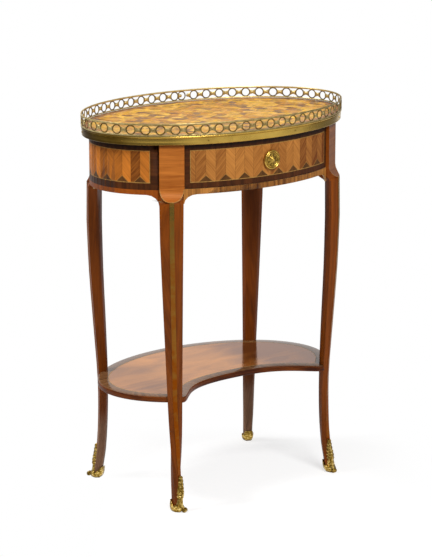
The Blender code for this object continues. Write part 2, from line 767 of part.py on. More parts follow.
def make_drawer():
    """Bow front, sides, back and bottom, all carried on one empty that slides."""
    slide = bpy.data.objects.new("drawer_slide", None)
    slide.location = (0.0, -FRIEZE[1], OPENING_Z)
    bpy.data.collections["Salon table"].objects.link(slide)
    low = OPENING_Z + DRAWER_GAP
    high = UNDERSIDE_Z - DRAWER_GAP
    thick = DRAWER_FRONT_THICKNESS
    profile = [(0.0, low), (0.0, high), (-thick, high), (-thick, low)]
    start = math.pi + STILE_ANGLE
    span = math.pi - 2 * STILE_ANGLE
    steps = 2 * RAIL_STEPS
    angles = [start + span * step / steps for step in range(steps + 1)]
    front = finish(sweep("drawer_front", FRIEZE, angles, lambda angle: profile), PARQUETRY)
    for leg in LEGS:
        if leg.heading:
            clear = as_cutter(leg_shape("drawer_clearance_" + leg.corner, leg, DRAWER_GAP))
            clear.rotation_euler.z = leg.heading
            combine(front, clear, "DIFFERENCE")
    behind = as_cutter(oval("front_inside", FRIEZE, 0.0, TOTAL_HEIGHT, thick + GAP))
    pieces = [front]
    half = DRAWER_WIDTH / 2
    inner = half - DRAWER_SIDE_THICKNESS
    side_low = OPENING_Z + GAP
    side_high = side_low + DRAWER_SIDE_HEIGHT
    panel_low = side_low + GROOVE_HEIGHT
    panel_high = panel_low + DRAWER_BOTTOM_THICKNESS
    groove = as_cutter(box("groove", (-inner - GROOVE_DEPTH, -FRIEZE[1], panel_low - GAP),
                           (inner + GROOVE_DEPTH, FRIEZE[1], panel_high + GAP)))
    for side, name in ((-1, "left"), (1, "right")):
        low_x, high_x = sorted((side * inner, side * half))
        board = box("drawer_side_" + name, (low_x, -FRIEZE[1], side_low),
                    (high_x, DRAWER_REAR, side_high))
        combine(finish(board, OAK), behind, "INTERSECT")
        combine(board, groove, "DIFFERENCE")
        pieces.append(board)
    reach = inner + GROOVE_DEPTH - GAP
    bottom = box("drawer_bottom", (-reach, -FRIEZE[1], panel_low), (reach, DRAWER_REAR, panel_high))
    combine(finish(bottom, OAK), behind, "INTERSECT")
    back = box("drawer_back", (GAP - inner, DRAWER_REAR - DRAWER_BACK_THICKNESS, panel_high + GAP),
               (inner - GAP, DRAWER_REAR, side_high - GROOVE_DEPTH))
    finish(back, OAK)
    pieces += [bottom, back, *make_knob(front)]
    for item in pieces:
        item.parent = slide
        item.matrix_parent_inverse = Matrix.Translation(slide.location).inverted()


def make_knob(front):
    """Turned knob whose stem goes through the drawer front to a nut."""
    centre_z = (OPENING_Z + UNDERSIDE_Z) / 2
    face = Vector((0.0, -FRIEZE[1] - GAP, centre_z))
    rim = KNOB_DIAMETER / 2
    button = KNOB_BUTTON / 2
    stem = STEM_DIAMETER / 2
    tail = DRAWER_FRONT_THICKNESS + NUT_THICKNESS + 4 * GAP
    dish = KNOB_PLATE * 0.55
    profile = [
        (0.0, KNOB_HEIGHT), (button * 0.6, KNOB_HEIGHT * 0.93), (button, KNOB_HEIGHT * 0.6),
        (button, dish), (rim - KNOB_RIM, dish), (rim - KNOB_RIM * 0.6, KNOB_PLATE),
        (rim - KNOB_RIM * 0.2, KNOB_PLATE * 0.9), (rim, KNOB_PLATE * 0.45), (rim * 0.96, 0.0),
        (stem, 0.0), (stem, -tail), (0.0, -tail),
    ]
    knob = round_shading(turned("drawer_knob", profile, face, BRONZE))
    bore = as_cutter(drilled("knob_bore", stem + GAP, face, tail * 2))
    combine(front, bore, "DIFFERENCE")
    seat = -FRIEZE[1] + DRAWER_FRONT_THICKNESS + GAP
    shape = bmesh.new()
    bmesh.ops.create_cone(shape, cap_ends=True, segments=6, radius1=NUT_SIZE / 2,
                          radius2=NUT_SIZE / 2, depth=NUT_THICKNESS)
    nut = mesh_object("knob_nut", shape)
    nut.location = (0.0, seat + NUT_THICKNESS / 2, centre_z)
    nut.rotation_euler.x = math.pi / 2
    combine(finish(nut, IRON), bore, "DIFFERENCE")
    return knob, nut


def drilled(name, radius, place, depth):
    """Round cutter along Y."""
    shape = bmesh.new()
    bmesh.ops.create_cone(shape, cap_ends=True, segments=TURN_SIDES, radius1=radius,
                          radius2=radius, depth=depth)
    item = mesh_object(name, shape)
    item.location = place
    item.rotation_euler.x = math.pi / 2
    return item


# Shelf


def make_shelf(cores):
    """Kidney-shaped shelf, notched round the inner corners of the legs."""
    axes = (FRIEZE[0] - SHELF_SETBACK, FRIEZE[1] + SHELF_SWELL)
    root = oval_point(FRIEZE, STILE_ANGLE)
    horn_angle = math.atan2(root.y / axes[1], root.x / axes[0])
    outline = []
    steps = OVAL_SIDES * 3 // 4
    for step in range(steps + 1):
        angle = -horn_angle + (math.pi + 2 * horn_angle) * step / steps
        outline.append(tuple(oval_point(axes, angle)))
    horn = Vector(outline[-1])
    inner = Vector((HORN_WIDTH, 0.0)) - root
    leave = Vector((math.cos(BAY_ANGLE), math.sin(BAY_ANGLE)))
    behind_leg = horn + HORN_PULL * Vector((math.cos(HORN_ANGLE), -math.sin(HORN_ANGLE)))
    middle = Vector((0.0, -BAY_SETBACK))
    arrive = middle - Vector((BAY_FLAT, 0.0))
    left_half = bezier(horn, behind_leg, inner - HORN_PULL * leave, inner, HORN_STEPS)
    left_half += bezier(inner, inner + BAY_PULL * leave, arrive, middle, BAY_STEPS)
    outline += left_half
    outline += [(-x, y) for x, y in reversed(left_half[:-1])]
    shelf = finish(slab("shelf", outline, SHELF_TOP - SHELF_THICKNESS, SHELF_TOP), TULIPWOOD)
    for core in cores.values():
        combine(shelf, core, "DIFFERENCE")


def bezier(start, first, second, end, steps):
    """Points along a cubic curve, without its start."""
    points = []
    for step in range(1, steps + 1):
        share = step / steps
        rest = 1 - share
        point = rest ** 3 * start + 3 * rest ** 2 * share * first
        point += 3 * rest * share ** 2 * second + share ** 3 * end
        points.append((point.x, point.y))
    return points


def main():
    """Build the whole table."""
    clear_scene()
    cores = make_legs()
    make_top()
    make_gallery()
    make_frieze(cores)
    make_runners(cores)
    make_drawer()
    make_shelf(cores)


if __name__ == "__main__":
    main()
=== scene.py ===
"""Dress of an oval salon table: veneers, parquetry and gilt mounts round its packed model.

Metres, +Z up. The long axis of the oval is X and the drawer opens towards -Y.
"""

import math

import bmesh
import bpy
import numpy as np
from bpy.props import FloatProperty, FloatVectorProperty, IntProperty, PointerProperty
from mathutils import Matrix, Vector


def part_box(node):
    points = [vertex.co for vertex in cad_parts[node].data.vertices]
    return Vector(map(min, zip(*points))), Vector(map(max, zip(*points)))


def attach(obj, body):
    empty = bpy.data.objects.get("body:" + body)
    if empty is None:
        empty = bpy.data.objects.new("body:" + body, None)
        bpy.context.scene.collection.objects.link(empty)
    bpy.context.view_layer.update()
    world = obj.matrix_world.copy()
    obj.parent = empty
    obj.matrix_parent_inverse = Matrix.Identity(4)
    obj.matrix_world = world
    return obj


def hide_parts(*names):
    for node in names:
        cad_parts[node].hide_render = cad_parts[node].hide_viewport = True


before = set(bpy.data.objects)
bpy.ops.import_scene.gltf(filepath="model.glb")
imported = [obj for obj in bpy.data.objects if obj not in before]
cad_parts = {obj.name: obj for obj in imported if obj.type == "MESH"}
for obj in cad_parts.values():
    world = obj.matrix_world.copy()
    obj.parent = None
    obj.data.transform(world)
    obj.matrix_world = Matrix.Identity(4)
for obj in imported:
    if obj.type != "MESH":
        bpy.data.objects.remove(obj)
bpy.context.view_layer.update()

bl_info = {
    "name": "Salon table",
    "version": (1, 0, 0),
    "blender": (4, 5, 0),
    "location": "View3D > Sidebar > Salon table",
    "description": "Veneers, parquetry and gilt mounts of an oval salon table",
    "category": "Object",
}

CORNERS = ("front_left", "front_right", "back_left", "back_right")
FULL_TURN = 2 * math.pi
MERGE = 0.00001
ARC_SAMPLES = 4000
UP = Vector((0.0, 0.0, 1.0))
WHITE = (1.0, 1.0, 1.0)
BLACK = (0.0, 0.0, 0.0)

# Directions on the floor: to the right in the picture, and away from the camera
VIEW_RIGHT = (0.785, -0.62)
VIEW_AWAY = (0.62, 0.785)

# Levels and half axes, read from the packed model
RIM_LOW, RIM_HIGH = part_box("top_band")
FRET_LOW, FRET_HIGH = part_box("gallery_left")
SHELF_LOW, SHELF_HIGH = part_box("shelf")
STRIP_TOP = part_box("leg_strip_front_left")[1].z
FRIEZE_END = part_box("end_rail_right")[1].x
FRIEZE_FRONT = -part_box("drawer_front")[0].y


class Oval:
    """An oval of two half axes, with the lengths along it from the end on +X."""

    def __init__(self, long, short):
        self.long = long
        self.short = short
        self.turns = np.linspace(0.0, FULL_TURN, ARC_SAMPLES + 1)
        steps = np.hypot(np.diff(long * np.cos(self.turns)), np.diff(short * np.sin(self.turns)))
        self.lengths = np.concatenate(([0.0], np.cumsum(steps)))
        self.around = float(self.lengths[-1])

    def normal(self, turn):
        """Outward direction at a turn of the oval's parameter."""
        return Vector((math.cos(turn) / self.long, math.sin(turn) / self.short, 0.0)).normalized()

    def point(self, turn, out=0.0, height=0.0):
        """Point beside the oval, at a height."""
        place = Vector((self.long * math.cos(turn), self.short * math.sin(turn), height))
        return place + out * self.normal(turn)

    def turn_to(self, place):
        """Turn towards a place on the oval or near it."""
        return math.atan2(place.y / self.short, place.x / self.long)

    def turn_at(self, length):
        """Turn at a length along the oval."""
        return float(np.interp(length % self.around, self.lengths, self.turns))

    def length_at(self, place):
        """Length along the oval to a place on it or near it."""
        return float(np.interp(self.turn_to(place) % FULL_TURN, self.turns, self.lengths))


RIM = Oval(RIM_HIGH.x, RIM_HIGH.y)
FRIEZE = Oval(FRIEZE_END, FRIEZE_FRONT)


# Settings


def length(name, description, default):
    """Size in metres that a user can change."""
    return FloatProperty(name=name, description=description, default=default, min=0.0,
                         precision=4, unit="LENGTH", subtype="DISTANCE")


def colour(name, description, default):
    """Colour that a user can change."""
    return FloatVectorProperty(name=name, description=description, default=default, size=3,
                               min=0.0, max=1.0, subtype="COLOR")


class MountSizes(bpy.types.PropertyGroup):
    """Sizes of the gallery, the band's pins and the leaves of the foot mounts."""

    rings: IntProperty(name="Rings", description="Rings in the two lengths of gallery",
                       default=53, min=2)
    ring_radius: length("Ring radius", "Outer radius of a ring of the gallery", 0.0095)
    ring_width: length("Ring width", "Width of a ring's metal", 0.0025)
    bead_radius: length("Bead radius", "Radius of the beads between the rings", 0.0033)
    link_waist: length("Link waist", "Half height of a link beside its bead", 0.0027)
    fret_thickness: length("Gallery thickness", "Thickness of the gallery", 0.0018)
    top_rail: length("Top rail", "Height of the gallery's upper rail", 0.0034)
    low_rail: length("Lower rail", "Height of the gallery's lower rail", 0.0026)
    joint_tab: length("Joint tab", "Plain end of a length of gallery at the back joint", 0.0080)
    joint_gap: length("Joint gap", "Gap between the two lengths of gallery", 0.0003)
    joint_turn: FloatProperty(name="Joint", default=math.radians(77.0), subtype="ANGLE",
                              description="Place of the gallery's back joint on the oval")
    pin_radius: length("Pin radius", "Radius of the pins that hold the band", 0.0015)
    leaf_height: length("Leaf height", "Tip of the leaf on a foot mount", 0.0680)
    leaf_width: length("Leaf width", "Half width of the leaf at its lobes, over the leg's edge",
                       0.0076)
    leaf_relief: length("Leaf relief", "Height of the leaf's rib and lobes", 0.0014)


class VeneerSizes(bpy.types.PropertyGroup):
    """Sizes of the parquetry, the bandings and the stringing."""

    drawer_cube: length("Drawer cubes", "Width of a cube on the drawer and the back", 0.0392)
    end_cube: length("End cubes", "Width of a cube on the two ends", 0.0350)
    drawer_panel: length("Drawer panel", "Half length of the parquetry on the drawer and the back",
                         0.1657)
    end_panel: length("End panel", "Half length of the parquetry on the two ends", 0.1050)
    panel_low: length("Panel foot", "Lower edge of the frieze parquetry", 0.6290)
    panel_high: length("Panel head", "Upper edge of the frieze parquetry", 0.6870)
    apron: length("Apron", "Upper edge of the plain banding under the ends", 0.6155)
    stringing: length("Stringing", "Width of the pale lines", 0.0012)
    top_edge: length("Top edge", "Edge of a lozenge on the top", 0.0195)
    top_border: length("Top border", "Width of the dark banding round the top", 0.0100)
    shelf_border: length("Shelf border", "Width of the banding round the shelf", 0.0210)


class Finishes(bpy.types.PropertyGroup):
    """Colours of the woods and metals."""

    leg_light: colour("Leg, light", "Light lines of the legs' veneer", (0.340, 0.079, 0.004))
    leg_dark: colour("Leg, dark", "Dark lines of the legs' veneer", (0.044, 0.008, 0.001))
    # Painted sheen: a greyish reflection painted on the lower ends of the back legs
    leg_painted_sheen: colour("Leg, bleached", "Bleached lower ends of the back legs",
                         (0.260, 0.145, 0.085))
    stile_light: colour("Stile, light", "Light lines of the stiles' veneer", (0.610, 0.200, 0.033))
    stile_dark: colour("Stile, dark", "Dark lines of the stiles' veneer", (0.230, 0.050, 0.005))
    end_light: colour("End, light", "Light lines of the parquetry on the ends",
                      (0.730, 0.208, 0.016))
    cube_light: colour("Cube, light", "Light lines of the frieze parquetry", (0.685, 0.284, 0.060))
    cube_dark: colour("Cube, dark", "Dark lines of the frieze parquetry", (0.130, 0.028, 0.003))
    border: colour("Banding", "Dark banding of the frieze", (0.058, 0.016, 0.003))
    shade: colour("Cube foot", "Dark triangles at the foot of the cubes", (0.085, 0.034, 0.008))
    line: colour("Stringing", "Pale stringing", (0.440, 0.235, 0.060))
    top_yellow: colour("Top, yellow", "Yellow wood of the top", (0.790, 0.455, 0.052))
    top_orange: colour("Top, orange", "Orange wood of the top", (0.470, 0.167, 0.011))
    top_brown: colour("Top, brown", "Brown wood of the top", (0.155, 0.056, 0.008))
    shelf_light: colour("Shelf, light", "Light lines of the shelf", (0.620, 0.240, 0.045))
    shelf_dark: colour("Shelf, dark", "Dark lines of the shelf", (0.210, 0.068, 0.018))
    shelf_band: colour("Shelf banding", "Banding round the shelf", (0.150, 0.070, 0.028))
    gilt: colour("Gilt", "Bright gilding", (0.660, 0.430, 0.090))
    # Pale gilt is also the colour of the painted highlight spots
    pale_gilt: colour("Pale gilt", "Paler gilding of the gallery and of rubbed spots",
                      (0.700, 0.550, 0.230))
    patina: colour("Patina", "Dull gilding in the hollows", (0.185, 0.104, 0.013))
    oak_light: colour("Oak, light", "Light lines of the oak", (0.470, 0.300, 0.150))
    oak_dark: colour("Oak, dark", "Dark lines of the oak", (0.270, 0.155, 0.070))
    iron: colour("Iron", "Nut behind the knob", (0.170, 0.160, 0.150))


class Studio(bpy.types.PropertyGroup):
    """Light and floor."""

    key: FloatProperty(name="Key", description="Power of the lamp in front", default=90.0,
                       min=0.0, unit="POWER")
    side: FloatProperty(name="Side", description="Power of the lamp on the left", default=56.0,
                        min=0.0, unit="POWER")
    ambient: FloatProperty(name="Ambient", description="Strength of the light from all sides",
                           default=0.22, min=0.0)
    floor: colour("Floor", "Colour of the floor", (0.86, 0.86, 0.86))


# Shader nodes


class Channel:
    """One output of a shader node, with Python's arithmetic."""

    def __init__(self, nodes, socket):
        self.nodes = nodes
        self.socket = socket

    def math(self, operation, *values):
        """Math node on this value and others."""
        return self.nodes.math(operation, self, *values)

    def __add__(self, other):
        return self.math("ADD", other)

    __radd__ = __add__

    def __sub__(self, other):
        return self.math("SUBTRACT", other)

    def __rsub__(self, other):
        return self.nodes.math("SUBTRACT", other, self)

    def __mul__(self, other):
        return self.math("MULTIPLY", other)

    __rmul__ = __mul__

    def __truediv__(self, other):
        return self.math("DIVIDE", other)

    def __abs__(self):
        return self.math("ABSOLUTE")

    def __gt__(self, other):
        return self.math("GREATER_THAN", other)

    def __lt__(self, other):
        return self.math("LESS_THAN", other)

    def floor(self):
        """Whole part of the value."""
        return self.math("FLOOR")

    def fraction(self):
        """Rest above the whole part."""
        return self.math("FRACT")

    def least(self, other):
        """Smaller of two values."""
        return self.math("MINIMUM", other)

    def most(self, other):
        """Larger of two values."""
        return self.math("MAXIMUM", other)

    def spread(self, low, high, start=0.0, end=1.0):
        """Values from low to high made to run from start to end, smoothly."""
        return self.nodes.node("ShaderNodeMapRange", {"interpolation_type": "SMOOTHSTEP"}, {
            "Value": self, "From Min": low, "From Max": high, "To Min": start, "To Max": end})


class Nodes:
    """Maker of the nodes in one tree."""

    def __init__(self, tree):
        self.tree = tree

    def node(self, kind, settings=None, sockets=None, output=0):
        """Add a node, set it up, fill its sockets and hand back one of its outputs."""
        item = self.tree.nodes.new(kind)
        for key, value in (settings or {}).items():
            setattr(item, key, value)
        for key, value in (sockets or {}).items():
            self.feed(item.inputs[key], value)
        return Channel(self, item.outputs[output])

    def feed(self, socket, value):
        """Link a channel to a socket, or set the socket to a value."""
        if isinstance(value, Channel):
            self.tree.links.new(value.socket, socket)
        elif socket.type == "RGBA":
            socket.default_value = (*value, 1.0)
        else:
            socket.default_value = value

    def math(self, operation, *values):
        """Math node on values and channels."""
        return self.node("ShaderNodeMath", {"operation": operation}, dict(enumerate(values)))

    def blend(self, share, first, second):
        """Colour between two others."""
        return self.node("ShaderNodeMix", {"data_type": "RGBA"}, {0: share, 6: first, 7: second}, 2)

    def shade(self, tint, amount):
        """Colour made darker or lighter by an amount."""
        return self.node("ShaderNodeVectorMath", {"operation": "SCALE"}, {0: tint, 3: amount})

    def split(self, vector):
        """Three parts of a vector."""
        item = self.node("ShaderNodeSeparateXYZ", None, {0: vector}).socket.node
        return [Channel(self, socket) for socket in item.outputs]

    def place(self):
        """Position on the object, in metres."""
        return self.split(self.node("ShaderNodeTexCoord", None, None, "Object"))

    def laid(self):
        """Position along and up a veneered surface, in metres, from the piece's own map."""
        return self.split(self.node("ShaderNodeUVMap", {"uv_map": "veneer"}))[:2]

    def stored(self, name):
        """Value kept on the piece's mesh."""
        return self.node("ShaderNodeAttribute", {"attribute_name": name}, None, "Fac")

    def ray(self, kind):
        """1 for the light's rays of one kind and 0 for the others."""
        return self.node("ShaderNodeLightPath", None, None, "Is " + kind + " Ray")

    def joined(self, parts):
        """Vector from three values."""
        return self.node("ShaderNodeCombineXYZ", None, dict(enumerate(parts)))

    def noise(self, parts, detail=3.0, roughness=0.55, distortion=0.0):
        """Cloudy value at a place that is already scaled."""
        return self.node("ShaderNodeTexNoise", None, {
            "Vector": self.joined(parts), "Scale": 1.0, "Detail": detail,
            "Roughness": roughness, "Distortion": distortion})

    def chance(self, parts):
        """Random value that stays the same over a tile."""
        return self.node("ShaderNodeTexWhiteNoise", None, {"Vector": self.joined(parts)})

    def figure(self, across, along, seed):
        """Streaks of a veneer, from 0 in the dark lines to 1 in the light ones."""
        broad = self.noise((across * 120.0, along * 6.0, seed), 3.0, 0.5, 0.4)
        fine = self.noise((across * 800.0, along * 16.0, seed), 4.0, 0.6)
        return (broad * 0.55 + fine * 0.45).spread(0.30, 0.70)


class Surface(Nodes):
    """Nodes of one new material, with the colours that a user can change."""

    bump_strength = 0.5

    def __init__(self, name):
        self.skin = bpy.data.materials.new(name)
        self.skin.use_nodes = True
        super().__init__(self.skin.node_tree)
        self.shader = self.tree.nodes["Principled BSDF"]
        self.tones = bpy.context.scene.salon_finishes

    def fill(self, **values):
        """Link or set sockets of the shader, named with _ for a space."""
        for name, value in values.items():
            self.feed(self.shader.inputs[name.replace("_", " ")], value)

    def done(self, tint, roughness, relief, depth, specular, metal=0.0):
        """Give the shader its colour, gloss and relief, and hand back the material."""
        bump = self.node("ShaderNodeBump", None, {
            "Strength": self.bump_strength, "Distance": depth, "Height": relief})
        self.fill(Base_Color=tint, Roughness=roughness, Normal=bump,
                  Specular_IOR_Level=specular, Metallic=metal)
        return self.skin


def towards(direction, x, y):
    """How far a place lies in a level direction."""
    return x * direction[0] + y * direction[1]


# Finishes: places and widths, in metres, have names; other numbers are shares and grain scales


def leg_veneer():
    """Red-brown veneer of the legs, dark along the edges, with painted shade under the top on the
    upper inner faces and a painted sheen at the back feet.
    """
    upper_leg = (0.34, 0.58)
    whole_leg = (0.26, 0.60)
    lower_end = (0.10, 0.15)
    front_to_back = (-0.05, 0.05)
    wood = Surface("leg_veneer")
    tones = wood.tones
    x, y, z = wood.place()
    streaks = wood.figure(x + y * 0.7, z, 3.0)
    clouds = wood.noise((x * 14.0, y * 14.0, z * 5.0))
    worn = wood.noise((x * 90.0, y * 90.0, z * 30.0))
    tint = wood.blend(streaks * 0.5 + clouds * 0.35 + 0.075, tones.leg_dark, tones.leg_light)
    dark = wood.stored("edge").spread(0.62, 1.0, 0.0, 0.62) * worn.spread(0.2, 0.6, 0.55, 1.0)
    tint = wood.shade(tint, 1.0 - dark)
    # Painted shade cast by the top and the frieze on the upper inner faces; the whole leg is also a
    # little darker towards the foot
    painted_shade_under_top = wood.stored("inner").spread(0.15, 0.75) * z.spread(*upper_leg, 0.0, 0.45)
    tint = wood.shade(tint, (1.0 - painted_shade_under_top) * z.spread(*whole_leg, 0.85, 1.04))
    # Painted sheen: a greyish reflection painted on the lower ends of the back legs
    painted_sheen = z.spread(*lower_end, 0.8, 0.0) * y.spread(*front_to_back)
    tint = wood.blend(painted_sheen, tint, wood.shade(tones.leg_painted_sheen, 0.7 + streaks * 0.6))
    return wood.done(tint, 0.36 + worn * 0.16, streaks, 0.0002, 0.11)


def stile_veneer():
    """Orange veneer of the stiles, laid across, darker at the sides, with painted shade towards the
    right-hand stiles and a painted shadow under the band.
    """
    right_half = (0.10, 0.18)
    under_band = (RIM_LOW.z - 0.009, RIM_LOW.z)
    wood = Surface("stile_veneer")
    tones = wood.tones
    x, y, z = wood.place()
    streaks = wood.figure(z, x - y, 11.0)
    clouds = wood.noise((x * 20.0, y * 20.0, z * 30.0))
    tint = wood.blend(streaks * 0.65 + clouds * 0.35, tones.stile_dark, tones.stile_light)
    sides = wood.stored("edge").spread(0.7, 1.0, 1.0, 0.55)
    # Painted shade towards the right-hand stiles
    tint = wood.shade(tint, sides * x.spread(*right_half, 1.0, 0.52))
    # Painted shadow of the band along the top of the stiles
    tint = wood.shade(tint, z.spread(*under_band, 1.0, 0.45))
    return wood.done(tint, 0.26 + clouds * 0.14, streaks, 0.0002, 0.12)


def stringing():
    """Pale line let into the veneer."""
    wood = Surface("stringing")
    x, y, z = wood.place()
    worn = wood.noise((x * 160.0, y * 160.0, z * 160.0))
    tint = wood.shade(wood.tones.line, worn.spread(0.25, 0.75, 0.6, 1.05))
    return wood.done(tint, 0.32 + worn * 0.12, worn, 0.0001, 0.12)


def frieze_parquetry(name, half, cube, apron, redder):
    """Row of cubes in a dark banding, with pale stringing between them and a plain apron below."""
    slant = 1.20
    slant_length = math.hypot(1.0, slant)
    foot_height = 0.0112
    foot_half = 0.34 * cube
    seam_width = 0.0007
    zigzag_width = 0.0011
    apron_seam = 0.0006
    under_band = (RIM_LOW.z - 0.015, RIM_LOW.z - 0.002)
    sizes = bpy.context.scene.salon_veneers
    low = sizes.panel_low
    high = sizes.panel_high
    wood = Surface(name)
    tones = wood.tones
    along, up = wood.laid()

    def panel(margin):
        """1 on the panel and its margin, 0 outside."""
        inside = (abs(along) < half + margin) * (up > low - margin)
        return inside * (up < high + margin)

    # Cubes: two sheets of veneer whose grain slants to a fold, over a dark triangle
    cells = along / cube
    step = cells.fraction() - 0.5
    fold = abs(step) * cube
    chevron = (up + fold * slant) / slant_length
    run = (up * slant - fold) / slant_length
    sheet = wood.chance(((cells * 2.0).floor(), 2.0, 5.0))
    streaks = wood.figure(chevron, run, 17.0 * sheet)
    lines = wood.noise((chevron * 560.0, run * 22.0, 9.0 * sheet), 3.0, 0.6).spread(0.30, 0.70)
    tone = lines * 0.30 + streaks * 0.24 + sheet * 0.30 + (step > 0.0) * (0.12 + 0.22 * redder)
    # Painted shade: the cubes darken towards one end of each panel, the right-hand end on the
    # drawer, less so on the redder ends
    tone = tone - (along / half).spread(0.2, 1.0, 0.0, 0.22 * (1.0 - redder))
    cubes = wood.blend(tone, tones.cube_dark, tones.cube_light)
    cubes = wood.blend(redder, cubes, wood.blend(tone, tones.leg_dark, tones.end_light))
    seam = abs(step).least(0.5 - abs(step)) * cube
    cubes = wood.shade(cubes, seam.spread(0.0, seam_width, 0.55, 1.0))
    rise = foot_height * (1.0 - fold / foot_half)
    cubes = wood.blend((up - low) < rise, cubes, wood.shade(tones.shade, 0.6 + streaks * 0.9))
    zigzag = abs(up - low - rise.most(0.0)).spread(0.0, zigzag_width, 0.50, 0.0)
    cubes = wood.blend(zigzag, cubes, tones.line)

    # Banding: its grain runs across each of its four sides, and a plain apron lies below
    ends = (abs(along) - half) > (high - up).least(up - low) * -1.0
    across = wood.blend(ends, wood.joined((along, up, 0.0)), wood.joined((up, along, 0.0)))
    grain_across, grain_along, _ = wood.split(across)
    dark = wood.shade(tones.border, 0.45 + wood.figure(grain_across, grain_along, 29.0) * 1.25)
    plain = wood.blend(wood.figure(along, up, 37.0), tones.stile_dark, tones.leg_light)
    dark = wood.blend(up < apron, dark, plain)
    dark = wood.shade(dark, abs(up - apron).spread(0.0, apron_seam, 0.35, 1.0))

    wear = wood.noise((along * 220.0, up * 220.0, 1.0))
    pale = wood.shade(tones.line, wear.spread(0.2, 0.7, 0.55, 1.05))
    tint = wood.blend(panel(sizes.stringing), dark, pale)
    tint = wood.blend(panel(0.0), tint, cubes)
    # Painted shadow of the band along the top of the frieze
    tint = wood.shade(tint, up.spread(*under_band, 1.0, 0.22))
    return wood.done(tint, 0.40 + wear * 0.16, streaks * 0.5 + wear * 0.5, 0.0002, 0.12)


def cross_banding(name, light, dark, seed):
    """Banding in short sheets, whose grain runs across the rail."""
    sheet = 0.055
    wood = Surface(name)
    along, up = wood.laid()
    streaks = wood.figure(along, up, seed)
    sheets = along / sheet
    patches = wood.chance((sheets.floor(), seed, 0.0))
    tint = wood.blend(streaks * 0.6 + patches * 0.4 - 0.12, dark, light)
    tint = wood.shade(tint, abs(sheets.fraction() - 0.5).spread(0.488, 0.5, 1.0, 0.6))
    return wood.done(tint, 0.28 + streaks * 0.12, streaks, 0.0002, 0.12)


def top_parquetry():
    """Lozenges in three directions that read as cubes, in warm yellow woods."""
    left_end = (-0.25, -0.05)
    wood = Surface("top_parquetry")
    tones = wood.tones
    x, y, _ = wood.place()

    # Three sets of lines, a third of a turn apart, make triangles; two of these are a lozenge
    spacing = bpy.context.scene.salon_veneers.top_edge * math.sqrt(3.0) / 2.0
    first = x / spacing
    second = x * (-0.5 / spacing) + y * (math.sqrt(0.75) / spacing)
    third = x * (-0.5 / spacing) - y * (math.sqrt(0.75) / spacing)
    i, j, k = first.floor(), second.floor(), third.floor()
    upper = (i + j + k) < -1.5
    turn = ((i - j) / 3.0).fraction() * 3.0
    is_third = turn < 0.5
    differs = abs((turn > 1.5) - upper)
    is_first = (1.0 - is_third) * differs
    is_second = (1.0 - is_third) * (1.0 - differs)
    tile = ((is_third + is_second) * i + is_first * j,
            is_third * j + (1.0 - is_third) * k, is_first + is_second * 2.0)
    tone = wood.chance(tile)
    other = wood.chance((tile[1], tile[2], tile[0]))

    # Grain along each lozenge, with brown ones among the yellow, rubbed patches and cracks
    across = is_third * (first - second) + is_first * (second - third) + is_second * (third - first)
    along = is_third * third + is_first * first + is_second * second
    streaks = wood.figure(across * (spacing * 0.6), along * spacing, tone * 23.0)
    clouds = wood.noise((x * 46.0, y * 46.0, tone * 9.0), 4.0, 0.6, 0.8).spread(0.32, 0.68)
    tint = wood.blend(streaks * 0.24 + clouds * 0.30 + tone * 0.80 - 0.16,
                      tones.top_orange, tones.top_yellow)
    brown = (is_second * 0.36 + (other > 0.72) * 0.85) * clouds.spread(0.1, 0.9, 1.0, 0.35)
    tint = wood.blend(brown.least(1.0), tint, tones.top_brown)
    worn = wood.noise((x * 150.0, y * 420.0, 4.0), 4.0, 0.65).spread(0.52, 0.70, 0.0, 0.8)
    tint = wood.blend(worn * (other < 0.7), tint, tones.top_yellow)
    cracks = wood.noise((x * 60.0, y * 260.0, tone * 5.0), 4.0, 0.65)
    cracks = cracks.spread(0.34, 0.52, 0.45, 1.06)
    tint = wood.shade(tint, cracks * x.spread(*left_end, 0.84, 1.0))
    return wood.done(tint, 0.30 + clouds * 0.2, streaks, 0.0002, 0.09)


def shelf_field():
    """Polished brown veneer of the shelf, laid lengthways, with a painted sheen in its middle and
    painted shade at the right.
    """
    middle_shift = 0.01
    from_middle = (0.03, 0.16)
    right_half = (0.04, 0.17)
    wood = Surface("shelf_field")
    x, y, z = wood.place()
    streaks = wood.figure(y, x * 0.6, 41.0)
    clouds = wood.noise((x * 9.0, y * 24.0, z), 4.0, 0.55, 0.6).spread(0.30, 0.70)
    # Painted sheen, lighter in the middle, and painted shade towards the right
    painted_sheen_and_shade = abs(x + middle_shift).spread(*from_middle, 0.50, 0.16)
    painted_sheen_and_shade = painted_sheen_and_shade - x.spread(*right_half, 0.0, 0.55)
    tint = wood.blend(streaks * 0.20 + clouds * 0.50 + painted_sheen_and_shade - 0.10,
                      wood.tones.shelf_dark, wood.tones.shelf_light)
    return wood.done(tint, 0.10 + clouds * 0.06, streaks, 0.00005, 0.20, 0.6)


def shelf_banding():
    """Polished grey-brown banding laid across, round the shelf."""
    wood = Surface("shelf_banding")
    along, inwards = wood.laid()
    streaks = wood.figure(along, inwards, 53.0)
    tint = wood.shade(wood.tones.shelf_band, 0.55 + streaks * 0.9)
    return wood.done(tint, 0.11 + streaks * 0.05, streaks, 0.00005, 0.17)


def shelf_edge():
    """Brown edge and underside of the shelf."""
    wood = Surface("shelf_edge")
    tones = wood.tones
    x, y, z = wood.place()
    streaks = wood.figure(z, x - y, 59.0)
    clouds = wood.noise((x * 30.0, y * 30.0, z * 60.0))
    tint = wood.blend(streaks * 0.6 + clouds * 0.4 - 0.32, tones.leg_dark, tones.leg_light)
    return wood.done(tint, 0.34 + clouds * 0.14, streaks, 0.0001, 0.12)


